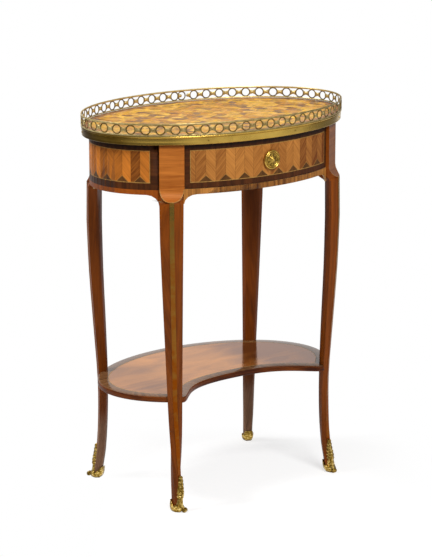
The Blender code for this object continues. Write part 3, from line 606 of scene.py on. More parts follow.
def gilt_bronze(name, bright, patina_share, patches=55.0, rough=0.24, gilt=None, dirt=None,
                depth=0.0002, metal=1.0, painted_highlight=0.0):
    """Worn gilding: dull in patches, dark in the hollows and in painted shade, with painted
    highlights as pale bright spots.
    """
    bronze = Surface(name)
    tones = bronze.tones
    x, y, z = bronze.place()
    clouds = bronze.noise((x * patches, y * patches, z * patches * 1.6), 5.0, 0.6)
    specks = bronze.noise((x * 700.0, y * 700.0, z * 700.0), 2.0)
    hollow = bronze.stored("hollow")
    dull = clouds.spread(0.30, 0.68, 1.0, 0.0) * patina_share + specks.spread(0.60, 0.75) * 0.2
    dull = (dull + hollow * 0.9).least(1.0)
    tint = bronze.blend(dull, bronze.shade(gilt or tones.gilt, bright), dirt or tones.patina)
    # Painted highlights: pale bright spots where the clouds are high, away from the hollows
    painted_highlight_spots = clouds.spread(0.50, 0.66) * (1.0 - hollow).most(0.0) * painted_highlight
    tint = bronze.blend(painted_highlight_spots, tint, bronze.shade(tones.pale_gilt, 1.35))
    # Darker in the hollows, which have patina, and where painted shade is stored
    tint = bronze.shade(tint, 1.0 - hollow * 0.4)
    relief = clouds * 0.7 + specks * 0.3
    return bronze.done(tint, rough + dull * 0.22, relief, depth, 0.5, metal)


def drawer_oak(name, lengthways):
    """Plain oak of the inside, with its pores along one axis."""
    wood = Surface(name)
    place = wood.place()
    along = place.pop(lengthways)
    streaks = wood.figure(place[0] + place[1], along, 61.0)
    pores = wood.noise((place[0] * 1500.0, place[1] * 1500.0, along * 40.0), 2.0)
    tint = wood.blend(streaks, wood.tones.oak_dark, wood.tones.oak_light)
    tint = wood.shade(tint, pores.spread(0.30, 0.45, 0.6, 1.0))
    return wood.done(tint, 0.58 + streaks * 0.14, pores, 0.0003, 0.3)


def dull_iron():
    """Forged iron of the nut behind the knob."""
    iron = Surface("dull_iron")
    x, y, z = iron.place()
    scale = iron.noise((x * 600.0, y * 600.0, z * 600.0), 4.0)
    tint = iron.shade(iron.tones.iron, scale.spread(0.2, 0.8, 0.5, 1.3))
    return iron.done(tint, 0.5 + scale * 0.2, scale, 0.0003, 0.5, 1.0)


# Shapes


def graded(value, places, amounts):
    """Amount at a value, between the amounts at given places."""
    return float(np.interp(value, places, amounts))


def beside(out):
    """Level direction square to another one."""
    return Vector((-out.y, out.x, 0.0))


def only(kind, items):
    """Members of one kind among what a mesh operator made."""
    return [item for item in items if isinstance(item, kind)]


def dress(faces, index):
    """Give faces one of their piece's finishes."""
    for face in faces:
        face.material_index = index


def carried(node):
    """Copy of a packed node's shape, with its loose triangles joined."""
    shape = bmesh.new()
    shape.from_mesh(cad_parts[node].data)
    bmesh.ops.remove_doubles(shape, verts=shape.verts, dist=MERGE)
    return shape


def piece(name, shape, skins, slot, nodes=(), body="table", crisp=35.0):
    """Turn a shape into a piece that rides on a body and stands for packed nodes."""
    mesh = bpy.data.meshes.new(name)
    shape.to_mesh(mesh)
    shape.free()
    for skin in skins:
        mesh.materials.append(skin)
    mesh.shade_smooth()
    mesh.set_sharp_from_angle(angle=math.radians(crisp))
    item = bpy.data.objects.new(name, mesh)
    bpy.context.scene.collection.objects.link(item)
    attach(item, body)
    if nodes:
        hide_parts(*nodes)


def lay_map(shape, mapping):
    """Give every corner of a shape its place along and up the veneer."""
    layer = shape.loops.layers.uv.new("veneer")
    for face in shape.faces:
        for corner in face.loops:
            corner[layer].uv = mapping(corner.vert.co)


def along_frieze(centre):
    """Mapping of a place on the frieze to its length from a centre and its height."""
    middle = FRIEZE.length_at(centre)
    half = FRIEZE.around / 2

    def mapping(place):
        run = FRIEZE.length_at(place) - middle
        return ((run + half) % FRIEZE.around - half, place.z)

    return mapping


def veneered(node, centre, skins, slot, facing, body="table"):
    """Rail or front of the frieze: one finish on what faces out of the oval, oak on the rest."""
    shape = carried(node)
    lay_map(shape, along_frieze(Vector(centre)))
    for face in shape.faces:
        out = FRIEZE.normal(FRIEZE.turn_to(face.calc_center_median()))
        if face.normal.dot(out) < facing:
            face.material_index = 1
    piece("veneered_" + node, shape, skins, slot, (node,), body)


def strung(shape, points, closed=False):
    """Line of a shape through points, as its verts and edges."""
    verts = [shape.verts.new(point) for point in points]
    following = verts[1:] + verts[:1] if closed else verts[1:]
    return verts, [shape.edges.new(pair) for pair in zip(verts, following)]


def turn_round(shape, geom, steps, axis=UP):
    """Sweep a line of a shape right round an axis through the origin."""
    bmesh.ops.spin(shape, geom=geom, cent=(0, 0, 0), axis=axis, dvec=(0, 0, 0), angle=FULL_TURN,
                   steps=steps, use_merge=True)


def spun(profile, oval, steps):
    """Moulding right round an oval, from a closed profile of points outwards and up."""
    shape = bmesh.new()
    verts, edges = strung(shape, [(1.0 + out, 0.0, height) for out, height in profile], True)
    turn_round(shape, verts + edges, steps)
    bmesh.ops.remove_doubles(shape, verts=shape.verts, dist=MERGE)
    for vert in shape.verts:
        turn = math.atan2(vert.co.y, vert.co.x)
        vert.co = oval.point(turn, math.hypot(vert.co.x, vert.co.y) - 1.0, vert.co.z)
    bmesh.ops.recalc_face_normals(shape, faces=shape.faces)
    return shape


def turned(shape, profile, steps, place):
    """Add a round piece to a shape, from a profile of radius and height, and give its verts."""
    before = set(shape.verts)
    verts, edges = strung(shape, [(radius, 0.0, height) for radius, height in profile])
    turn_round(shape, verts + edges, steps)
    made = [vert for vert in shape.verts if vert not in before]
    bmesh.ops.transform(shape, matrix=place, verts=made)
    bmesh.ops.remove_doubles(shape, verts=made, dist=MERGE)
    return [vert for vert in shape.verts if vert not in before]


def cut(shape, point, direction, clear=False):
    """Cut a shape by a plane and, where asked, clear what is beyond it and close the cut."""
    everything = list(shape.verts) + list(shape.edges) + list(shape.faces)
    made = bmesh.ops.bisect_plane(shape, geom=everything, plane_co=point, plane_no=direction,
                                  clear_outer=clear)["geom_cut"]
    if clear:
        bmesh.ops.holes_fill(shape, edges=only(bmesh.types.BMEdge, made), sides=0)


def inset(shape, faces, width):
    """Faces of a line that is let in along the edge of others."""
    return bmesh.ops.inset_region(shape, faces=faces, thickness=width,
                                  use_even_offset=True)["faces"]


def bezier(start, first, second, end, steps):
    """Points along a cubic curve, without its start."""
    points = []
    for step in range(1, steps + 1):
        share = step / steps
        rest = 1.0 - share
        points.append(rest ** 3 * start + 3 * rest ** 2 * share * first
                      + 3 * rest * share ** 2 * second + share ** 3 * end)
    return points


def leg_edge(corner):
    """Middle of a leg's front edge at several heights, with its outward direction."""
    shape = carried("leg_" + corner)
    rings = {}
    for vert in shape.verts:
        if vert.co.z < STRIP_TOP:
            rings.setdefault(round(vert.co.z, 4), []).append(vert)
    rows = []
    for height, ring in sorted(rings.items()):
        members = set(ring)
        centre = sum((vert.co for vert in ring), Vector()) / len(ring)
        edges = {item for vert in ring for item in vert.link_edges
                 if item.other_vert(vert) in members and len(item.link_faces) == 2}
        front = min(edges, key=lambda item: item.calc_length())
        middle = (front.verts[0].co + front.verts[1].co) / 2
        side = (front.verts[1].co - front.verts[0].co).normalized()
        out = -beside(side)
        if out.dot(middle - centre) < 0:
            out = -out
        rows.append((height, middle.copy(), out))
    shape.free()
    return rows


def edge_at(rows, height):
    """Point on a leg's front edge and its outward direction, at any height."""
    heights = [row[0] for row in rows]
    middle = [graded(height, heights, [row[1][axis] for row in rows]) for axis in range(2)]
    out = Vector([graded(height, heights, [row[2][axis] for row in rows]) for axis in range(3)])
    return Vector((*middle, height)), out.normalized()


# Pieces


class SALON_OT_top(bpy.types.Operator):
    """Lay the parquetry of the top in its dark banding"""

    bl_idname = "salon.top"
    bl_label = "Top"

    segments = 160

    def execute(self, context):
        sizes = context.scene.salon_veneers
        tones = context.scene.salon_finishes
        low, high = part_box("top_parquetry")
        shape = bmesh.new()
        bmesh.ops.create_circle(shape, cap_ends=True, segments=self.segments, radius=1.0)
        inside_band = RIM.long - high.x
        for vert in shape.verts:
            vert.co = RIM.point(math.atan2(vert.co.y, vert.co.x), -inside_band, high.z)
        top = list(shape.faces)
        if top[0].normal.z < 0:
            bmesh.ops.reverse_faces(shape, faces=top)
        made = bmesh.ops.extrude_face_region(shape, geom=top, use_keep_orig=True)
        lower = only(bmesh.types.BMVert, made["geom"])
        bmesh.ops.translate(shape, vec=(0, 0, low.z - high.z), verts=lower)
        bmesh.ops.recalc_face_normals(shape, faces=shape.faces)
        field = max(shape.faces, key=lambda face: face.normal.z * face.calc_area())
        inset(shape, [field], sizes.top_border)
        line = inset(shape, [field], sizes.stringing)
        dress(shape.faces, 1)
        dress(line, 2)
        dress([field], 0)
        lay_map(shape, lambda place: (RIM.length_at(place), place.xy.length))
        edge = cross_banding("top_banding", tones.shelf_light, tones.border, 71.0)
        piece("parquetry_top", shape, (top_parquetry(), edge, stringing()), "parquetry",
              ("top_parquetry",))
        return {"FINISHED"}


class SALON_OT_band(bpy.types.Operator):
    """Turn the brass band round the top and set its pins"""

    bl_idname = "salon.band"
    bl_label = "Band"

    # Profile: places outwards from the rim, with drops from the band's top or rises from its foot
    inner = -0.0060
    bead = 0.0016
    fillet = ((-0.0019, 0.0033), (-0.0021, 0.0040), (-0.0012, 0.0048))
    cove_depth = 0.0009
    cove_height = 0.0100
    cove_steps = 6
    lip = ((-0.0016, 0.0018), (-0.0016, 0.0008), (-0.0024, 0.0))
    steps = 200

    # Share of the way to the two ends, and how dull the gilding is there: a painted dark reflection
    # at each end
    dull_from = (0.84, 0.98)
    dull = (0.0, 0.8)

    pin_turns = range(1, 360, 40)
    pin_sunk = 0.0014
    pin_drop = 0.0015

    def profile(self, low, high):
        """Closed profile: bead at the top, fillet, cove and lip."""
        points = [(self.inner, low), (self.inner, high), (-self.bead, high)]
        for step in range(5):
            angle = math.radians(80 - step * 40)
            points.append((-self.bead + self.bead * math.cos(angle),
                           high - self.bead + self.bead * math.sin(angle)))
        points += [(out, high - drop) for out, drop in self.fillet]
        cove_out, cove_drop = self.fillet[-1]
        for step in range(1, self.cove_steps):
            share = step / self.cove_steps
            points.append((cove_out - self.cove_depth * share ** 2,
                           high - cove_drop - self.cove_height * share))
        return points + [(out, low + rise) for out, rise in self.lip]

    def execute(self, context):
        sizes = context.scene.salon_mounts
        low = RIM_LOW.z
        high = RIM_HIGH.z
        shape = spun(self.profile(low, high), RIM, self.steps)
        hollow = shape.verts.layers.float.new("hollow")
        for vert in shape.verts:
            vert[hollow] = graded(abs(vert.co.x) / RIM.long, self.dull_from, self.dull)
        band = gilt_bronze("band_gilding", 0.88, 0.35, 24.0, 0.20)
        piece("brass_band", shape, (band,), "bronze", ("top_band",))
        pins = bmesh.new()
        for turn in self.pin_turns:
            place = RIM.point(math.radians(turn), -self.pin_sunk, (low + high) / 2 - self.pin_drop)
            bmesh.ops.create_uvsphere(pins, u_segments=10, v_segments=6, radius=sizes.pin_radius,
                                      matrix=Matrix.Translation(place))
        piece("band_pins", pins, (gilt_bronze("pin_gilding", 0.6, 0.9),), "bronze")
        return {"FINISHED"}


class SALON_OT_gallery(bpy.types.Operator):
    """Bend two lengths of ring gallery round the top"""

    bl_idname = "salon.gallery"
    bl_label = "Gallery"

    metal_sides = 8
    rail_steps = 150
    ring_steps = 28
    link_sides = 12

    # Links: where they start and how high they are there, in ring radii, then the share of the way
    # to the middle of the bead that they reach, and their thickness in gallery thicknesses
    link_root = 0.74
    link_mouth = 0.60
    link_reach = 0.95
    link_flat = 0.20

    # Thickness of a bead by its height, and of the upper rail in gallery thicknesses
    bead_flat = 0.45
    top_swell = 1.15

    # How dull the gilding is, as painted shade: on the rings, and on the rest from the front to the
    # middle
    ring_dull = 0.80
    front_to_middle = (-0.10, 0.0)
    front_dull = (0.42, 0.0)

    def section(self, shape, place):
        """Verts and edges round the metal of a rail or a ring."""
        verts = bmesh.ops.create_circle(shape, cap_ends=False, segments=self.metal_sides,
                                        radius=0.5, matrix=place)["verts"]
        return verts, list({edge for vert in verts for edge in vert.link_edges})

    def bar(self, shape, start, span, middle, height, thickness):
        """Plain rail along the flat gallery."""
        half_side = math.pi / self.metal_sides
        swell = 1.0 / math.cos(half_side)
        place = Matrix.Translation((start, 0.0, middle)) @ Matrix.Rotation(math.pi / 2, 4, "Y")
        place = place @ Matrix.Diagonal((height * swell, thickness * swell, 1.0, 1.0))
        verts, edges = self.section(shape, place @ Matrix.Rotation(half_side, 4, "Z"))
        bmesh.ops.spin(shape, geom=verts + edges, cent=(0, 0, 0), axis=UP, angle=0.0,
                       dvec=(span / self.rail_steps, 0.0, 0.0), steps=self.rail_steps)
        rims = [edge for edge in shape.edges if edge.is_boundary]
        bmesh.ops.holes_fill(shape, edges=rims, sides=self.metal_sides)

    def ring(self, shape, place, sizes):
        """One ring with rounded metal, standing in the flat gallery."""
        before = set(shape.verts)
        metal = Matrix.Translation((sizes.ring_radius - sizes.ring_width / 2, 0.0, 0.0))
        metal = metal @ Matrix.Diagonal((sizes.ring_width, sizes.fret_thickness, 1.0, 1.0))
        verts, edges = self.section(shape, metal)
        turn_round(shape, verts + edges, self.ring_steps, (0, 1, 0))
        made = [vert for vert in shape.verts if vert not in before]
        bmesh.ops.translate(shape, vec=place, verts=made)
        hollow = shape.verts.layers.float["hollow"]
        for vert in made:
            vert[hollow] = self.ring_dull

    def execute(self, context):
        sizes = context.scene.salon_mounts
        low = FRET_LOW.z
        high = FRET_HIGH.z
        thick = sizes.fret_thickness
        oval = Oval(RIM.long - thick / 2, RIM.short - thick / 2)
        pitch = (oval.around - 2 * sizes.joint_gap - 2 * sizes.joint_tab) / sizes.rings
        right_rings = sizes.rings // 2
        left_rings = sizes.rings - right_rings
        back = oval.length_at(oval.point(sizes.joint_turn)) + sizes.joint_gap / 2
        front = back + sizes.joint_tab + left_rings * pitch + sizes.joint_gap
        middle = (low + sizes.low_rail + high - sizes.top_rail) / 2
        root = sizes.ring_radius * self.link_root
        reach = (pitch / 2 - root) * self.link_reach
        flat_link = Matrix.Diagonal((1.0, thick * self.link_flat / sizes.link_waist, 1.0, 1.0))
        flat_bead = Matrix.Diagonal((1.0, self.bead_flat, 1.0, 1.0))
        skin = gilt_bronze("gallery_gilding", 1.0, 0.45, 110.0, 0.30,
                           context.scene.salon_finishes.pale_gilt, metal=0.6)
        for name, start, rings, first_tab in (
                ("gallery_left", back, left_rings, sizes.joint_tab),
                ("gallery_right", front, right_rings, 0.0)):
            shape = bmesh.new()
            hollow = shape.verts.layers.float.new("hollow")
            span = sizes.joint_tab + rings * pitch
            self.bar(shape, start, span, low + sizes.low_rail / 2, sizes.low_rail, thick)
            self.bar(shape, start, span, high - sizes.top_rail / 2, sizes.top_rail,
                     thick * self.top_swell)
            for index in range(rings):
                place = start + first_tab + (index + 0.5) * pitch
                self.ring(shape, (place, 0.0, middle), sizes)
                for side in (-1, 1):
                    link = Matrix.Translation((place + side * (root + reach / 2), 0.0, middle))
                    turn = Matrix.Rotation(side * math.pi / 2, 4, "Y")
                    bmesh.ops.create_cone(shape, cap_ends=True, segments=self.link_sides,
                                          depth=reach, radius1=sizes.ring_radius * self.link_mouth,
                                          radius2=sizes.link_waist, matrix=link @ flat_link @ turn)
                for side in ([1] if index else [-1, 1]):
                    bead = Matrix.Translation((place + side * pitch / 2, 0.0, middle))
                    bmesh.ops.create_icosphere(shape, subdivisions=2, radius=sizes.bead_radius,
                                               matrix=bead @ flat_bead)
            if not first_tab:
                # The right length ends in a ring that laps over the left one's plain end
                self.ring(shape, (start + (rings + 0.5) * pitch, 0.0, middle), sizes)
            for vert in shape.verts:
                vert.co = oval.point(oval.turn_at(vert.co.x), vert.co.y, vert.co.z)
                # Painted shade on the front of the gallery
                dull = graded(vert.co.y, self.front_to_middle, self.front_dull)
                vert[hollow] = max(vert[hollow], dull)
            bmesh.ops.recalc_face_normals(shape, faces=shape.faces)
            piece("ring_" + name, shape, (skin,), "bronze", (name,))
        return {"FINISHED"}


class SALON_OT_legs(bpy.types.Operator):
    """Veneer the legs and stiles and lay the brass along their edges"""

    bl_idname = "salon.legs"
    bl_label = "Legs"

    level = 0.001
    stile_facing = 0.6
    crease = math.radians(20)
    tongue_height = 0.024

    # Strip: widened this many times, half of it sideways and half of it back over the veneer
    strip_widen = 1.60
    strip_fold = 0.5
    strip_foot = 0.0600
    strip_heights = (0.20, 0.46, 0.57)
    strip_dull = (0.80, 0.35, 0.0)

    def execute(self, context):
        sizes = context.scene.salon_veneers
        skins = (leg_veneer(), stile_veneer(), stringing())
        brass = gilt_bronze("strip_gilding", 0.50, 0.45,
                            dirt=context.scene.salon_finishes.leg_light)
        for corner in CORNERS:
            shape = carried("leg_" + corner)
            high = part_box("leg_" + corner)[1]
            head = [vert.co for vert in shape.verts if vert.co.z > high.z - self.level]
            out = FRIEZE.normal(FRIEZE.turn_to(sum(head, Vector()) / len(head)))
            for face in shape.faces:
                faces_out = face.normal.dot(out) > self.stile_facing
                if faces_out and face.calc_center_median().z > STRIP_TOP:
                    face.material_index = 1
            edge = shape.verts.layers.float.new("edge")
            corners = set(shape.verts)
            soft = [item for item in shape.edges if item.calc_face_angle(math.pi) < self.crease]
            bmesh.ops.subdivide_edges(shape, edges=soft, cuts=1)
            shape.normal_update()
            inner = shape.verts.layers.float.new("inner")
            for vert in shape.verts:
                vert[edge] = 1.0 if vert in corners else 0.0
                vert[inner] = -vert.normal.xy.dot(vert.co.xy.normalized())
            stile = [face for face in shape.faces if face.material_index == 1]
            for face in inset(shape, stile, sizes.stringing):
                if face.calc_center_median().z < STRIP_TOP + self.tongue_height:
                    face.material_index = 2
            piece("veneered_leg_" + corner, shape, skins, "tulipwood", ("leg_" + corner,))
            self.strip(corner, brass)
        return {"FINISHED"}

    def strip(self, corner, skin):
        """Brass on the leg's front edge, its sides over the veneer and its foot under the leaf."""
        rows = leg_edge(corner)
        shape = carried("leg_strip_" + corner)
        hollow = shape.verts.layers.float.new("hollow")
        low = min(vert.co.z for vert in shape.verts)
        for vert in shape.verts:
            vert[hollow] = graded(vert.co.z, self.strip_heights, self.strip_dull)
            middle, out = edge_at(rows, vert.co.z)
            side = beside(out)
            spare = (self.strip_widen - 1.0) * (vert.co - middle).dot(side)
            vert.co += side * spare * self.strip_fold - out * abs(spare) * self.strip_fold
            if vert.co.z < low + self.level:
                vert.co += edge_at(rows, self.strip_foot)[0] - middle
        piece("brass_strip_" + corner, shape, (skin,), "bronze", ("leg_strip_" + corner,))


class SALON_OT_feet(bpy.types.Operator):
    """Chase the foot mounts: shoe, leaf with lobes and rolled toe"""

    bl_idname = "salon.feet"
    bl_label = "Foot mounts"

    # Leaf: share of the way to its tip, then its half width and its lift there in leaf widths
    leaf_rises = (0.0, 0.10, 0.26, 0.40, 0.54, 0.74, 0.90, 1.0)
    leaf_halves = (1.65, 1.34, 1.02, 1.08, 0.98, 0.68, 0.46, 0.26)
    leaf_lifts = (0.95, 0.66, 0.58, 0.92, 0.90, 0.72, 0.60, 0.50)
    leaf_foot = 0.0075
    leaf_sunk = 0.0008
    leaf_columns = 14
    leaf_rows = 70
    rib_width = 0.20

    # Lobes: where they start, their number, where each is widest, and the width in a notch
    lobes_from = 0.28
    lobes = 6
    lobe_crest = 0.75
    notch_width = 0.84
    lobe_width = 0.26

    # Half width of the leg's front edge; past it the leaf runs on over the sides and falls back
    edge_half = 0.0032
    side_run = 0.67
    side_fall = 0.62

    # Toe: its end from the middle outwards, as radius and depth, and how far it stands out
    toe_radius = 0.0046
    toe_half = 0.0052
    toe_steps = 20
    toe_end = ((0.0, 0.0), (0.0012, 0.0), (0.0016, 0.0006), (0.0026, 0.0007), (0.0031, -0.0002),
               (0.0040, 0.0008), (toe_radius, 0.0024))
    toe_reach = {"front_left": 0.0098, "front_right": 0.0064,
                 "back_left": 0.0106, "back_right": 0.0088}

    # Shoe: heights, how far it swells there and how dull the gilding is there
    shoe_heights = (0.0, 0.002, 0.006, 0.012, 0.020)
    shoe_swells = (-0.0034, -0.0016, 0.0002, 0.0008, 0.0)
    shoe_dull = (0.9, 0.5, 0.1, 0.0, 0.3)
    shoe_front_height = 0.012
    shoe_front = 0.0062
    shoe_slope = 0.55

    def leaf(self, shape, rows, sizes):
        """Leaf over the front edge, with scalloped lobes and a rib, narrow at the tip."""
        hollow = shape.verts.layers.float["hollow"]
        grid = bmesh.ops.create_grid(shape, x_segments=self.leaf_columns,
                                     y_segments=self.leaf_rows, size=0.5)["verts"]
        faces = list({face for vert in grid for face in vert.link_faces})
        leaf_length = sizes.leaf_height - self.leaf_foot
        for vert in grid:
            across = vert.co.x * 2.0
            rise = vert.co.y + 0.5
            middle, out = edge_at(rows, self.leaf_foot + leaf_length * rise)
            place = max(rise - self.lobes_from, 0.0) / (1.0 - self.lobes_from)
            step = place * self.lobes % 1.0
            scallop = min(step / self.lobe_crest, (1.0 - step) / (1.0 - self.lobe_crest))
            scallop = scallop if place else 0.5
            groove = math.sin(math.pi * abs(across))
            half = sizes.leaf_width * graded(rise, self.leaf_rises, self.leaf_halves)
            reach = across * half * (self.notch_width + self.lobe_width * scallop)
            beyond = max(abs(reach) - self.edge_half, 0.0)
            sideways = min(abs(reach), self.edge_half) + beyond * self.side_run
            rib = math.exp(-(across / self.rib_width) ** 2)
            curl = scallop * across * across
            lift = sizes.leaf_width * graded(rise, self.leaf_rises, self.leaf_lifts)
            lift += sizes.leaf_relief * (0.9 * rib + 1.2 * curl - 0.4 * groove)
            lift -= beyond * self.side_fall
            vert.co = middle + out * lift + beside(out) * math.copysign(sideways, reach)
            notch = (1.0 - scallop) * abs(across) if place else 0.0
            vert[hollow] = min(0.55 * groove * (1.0 - rib) + 0.5 * notch, 1.0)
        made = bmesh.ops.extrude_face_region(shape, geom=faces, use_keep_orig=True)
        for vert in only(bmesh.types.BMVert, made["geom"]):
            middle, out = edge_at(rows, vert.co.z)
            offset = vert.co - middle
            beyond = max(abs(offset.dot(beside(out))) - self.edge_half, 0.0)
            vert.co -= out * (offset.dot(out) + self.leaf_sunk + beyond)

    def toe(self, shape, rows, reach):
        """Rolled toe with an eye at each end."""
        radius = self.toe_radius
        half = self.toe_half
        hollow = shape.verts.layers.float["hollow"]
        middle, out = edge_at(rows, radius)
        side = beside(out)
        end = [(across, depth - half) for across, depth in self.toe_end]
        profile = end + [(radius, 0.0)] + [(across, -along) for across, along in reversed(end)]
        upright = Matrix((UP, out, side)).transposed().to_4x4()
        place = Matrix.Translation(middle + out * reach + UP * (radius - middle.z))
        for vert in turned(shape, profile, self.toe_steps, place @ upright):
            in_eye = abs((vert.co - middle).dot(side)) > half * 0.8
            vert[hollow] = 0.6 if in_eye else 0.12

    def shoe(self, shape, rows):
        """Lower part of the mount: cut down in front for the leaf, rounded at the sole and heel."""
        middle, out = edge_at(rows, self.shoe_front_height)
        cut(shape, middle, out * self.shoe_slope + UP, True)
        cut(shape, middle + out * self.shoe_front, out, True)
        for height in self.shoe_heights[1:]:
            cut(shape, UP * height, UP)
        hollow = shape.verts.layers.float.new("hollow")
        centre = sum((vert.co for vert in shape.verts), Vector()) / len(shape.verts)
        for vert in shape.verts:
            away = (vert.co - centre) * Vector((1.0, 1.0, 0.0))
            swell = graded(vert.co.z, self.shoe_heights, self.shoe_swells)
            vert.co += away.normalized() * swell
            vert[hollow] = graded(vert.co.z, self.shoe_heights, self.shoe_dull)

    def execute(self, context):
        sizes = context.scene.salon_mounts
        # The foot gilding carries painted highlights
        skin = gilt_bronze("foot_gilding", 1.05, 0.95, 230.0, 0.19, depth=0.0005, painted_highlight=0.9)
        for corner in CORNERS:
            node = "foot_mount_" + corner
            rows = leg_edge(corner)
            shape = carried(node)
            self.shoe(shape, rows)
            bmesh.ops.dissolve_degenerate(shape, edges=shape.edges, dist=MERGE)
            self.leaf(shape, rows, sizes)
            self.toe(shape, rows, self.toe_reach[corner])
            bmesh.ops.recalc_face_normals(shape, faces=shape.faces)
            piece("gilt_shoe_" + corner, shape, (skin,), "bronze", (node,), crisp=50.0)
        return {"FINISHED"}


class SALON_OT_frieze(bpy.types.Operator):
    """Veneer the rails of the frieze"""

    bl_idname = "salon.frieze"
    bl_label = "Frieze"

    facing = 0.3

    def execute(self, context):
        sizes = context.scene.salon_veneers
        tones = context.scene.salon_finishes
        oak = drawer_oak("rail_oak", 2)
        ends = frieze_parquetry("end_parquetry", sizes.end_panel, sizes.end_cube, sizes.apron, 0.75)
        back = frieze_parquetry("back_parquetry", sizes.drawer_panel, sizes.drawer_cube,
                                sizes.apron, 0.3)
        band = cross_banding("rail_banding", tones.cube_light, tones.leg_dark, 83.0)
        for node, centre, skin, slot in (
                ("end_rail_left", (-FRIEZE.long, 0, 0), ends, "parquetry"),
                ("end_rail_right", (FRIEZE.long, 0, 0), ends, "parquetry"),
                ("back_rail", (0, FRIEZE.short, 0), back, "parquetry"),
                ("front_rail", (0, -FRIEZE.short, 0), band, "tulipwood")):
            veneered(node, centre, (skin, oak), slot, self.facing)
        return {"FINISHED"}


class SALON_OT_drawer(bpy.types.Operator):
    """Veneer the drawer front, with oak behind it"""

    bl_idname = "salon.drawer"
    bl_label = "Drawer"

    facing = 0.5

    def execute(self, context):
        sizes = context.scene.salon_veneers
        front = frieze_parquetry("drawer_parquetry", sizes.drawer_panel, sizes.drawer_cube,
                                 0.0, 0.0)
        veneered("drawer_front", (0, -FRIEZE.short, 0), (front, drawer_oak("front_oak", 0)),
                 "parquetry", self.facing, "drawer")
        return {"FINISHED"}


class SALON_OT_knob(bpy.types.Operator):
    """Turn and chase the round knob"""

    bl_idname = "salon.knob"
    bl_label = "Knob"

    # Profile from the middle outwards: radius with a share of the knob's reach, then with a height
    button = ((0.0, 1.0), (0.0014, 0.98), (0.0024, 0.90), (0.0028, 0.80), (0.0036, 0.72),
              (0.0050, 0.66), (0.0062, 0.58))
    dish = ((0.0070, 0.0052), (0.0078, 0.0044), (0.0092, 0.0042), (0.0106, 0.0043),
            (0.0116, 0.0048), (0.0122, 0.0058), (0.0129, 0.0062), (0.0136, 0.0058),
            (0.0139, 0.0050), (0.0150, 0.0050), (0.0154, 0.0058), (0.0163, 0.0064),
            (0.0172, 0.0061), (0.0180, 0.0050))
    rim = ((0.0, 0.0034), (0.0, 0.0022), (0.0010, 0.0012))
    base_radius = 0.0110
    base_height = 0.0008
    stem_radius = 0.0030
    steps = 64

    # Radius from the knob's middle and how dull the gilding is there
    hollow_rings = (0.0, 0.0030, 0.0052, 0.0070, 0.0112, 0.0124, 0.0134, 0.0141, 0.0151, 0.0160,
                    0.0200)
    hollow_depths = (0.0, 0.15, 0.4, 0.9, 0.9, 0.2, 0.1, 0.7, 0.7, 0.0, 0.15)

    gap = 0.0003
    petals = 8
    petal_ring = (0.0060, 0.0114)
    petal_floor = 0.0030
    petal_rise = 0.0007
    beads = 40
    bead_ring = 0.01445
    bead_height = 0.0052
    bead_radius = 0.0008

    def execute(self, context):
        low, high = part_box("drawer_knob")
        radius = (high.x - low.x) / 2
        face = -FRIEZE.short - self.gap
        reach = face - low.y
        tail = high.y - face
        centre = (low.z + high.z) / 2
        profile = [(out, reach * share) for out, share in self.button]
        profile += self.dish
        profile += [(radius - less, height) for less, height in self.rim]
        profile += [(self.base_radius, self.base_height), (self.base_radius, 0.0),
                    (self.stem_radius, 0.0), (self.stem_radius, -tail), (0.0, -tail)]
        shape = bmesh.new()
        hollow = shape.verts.layers.float.new("hollow")
        turn = Matrix.Translation((0.0, face, centre)) @ Matrix.Rotation(math.pi / 2, 4, "X")
        inner, outer = self.petal_ring
        for vert in turned(shape, profile, self.steps, turn):
            ring = math.hypot(vert.co.x, vert.co.z - centre)
            angle = math.atan2(vert.co.z - centre, vert.co.x)
            petal = abs(math.cos(self.petals / 2 * angle))
            vert[hollow] = graded(ring, self.hollow_rings, self.hollow_depths)
            if inner < ring < outer and vert.co.y < face - self.petal_floor:
                vert.co.y -= self.petal_rise * petal
                vert[hollow] *= 1.0 - 0.6 * petal
        for index in range(self.beads):
            angle = FULL_TURN * index / self.beads
            place = Vector((self.bead_ring * math.cos(angle), face - self.bead_height,
                            centre + self.bead_ring * math.sin(angle)))
            bmesh.ops.create_icosphere(shape, subdivisions=2, radius=self.bead_radius,
                                       matrix=Matrix.Translation(place))
        bmesh.ops.recalc_face_normals(shape, faces=shape.faces)
        piece("rosette_knob", shape, (gilt_bronze("knob_gilding", 1.0, 0.35, 160.0),), "bronze",
              ("drawer_knob",), "drawer", 45.0)
        return {"FINISHED"}


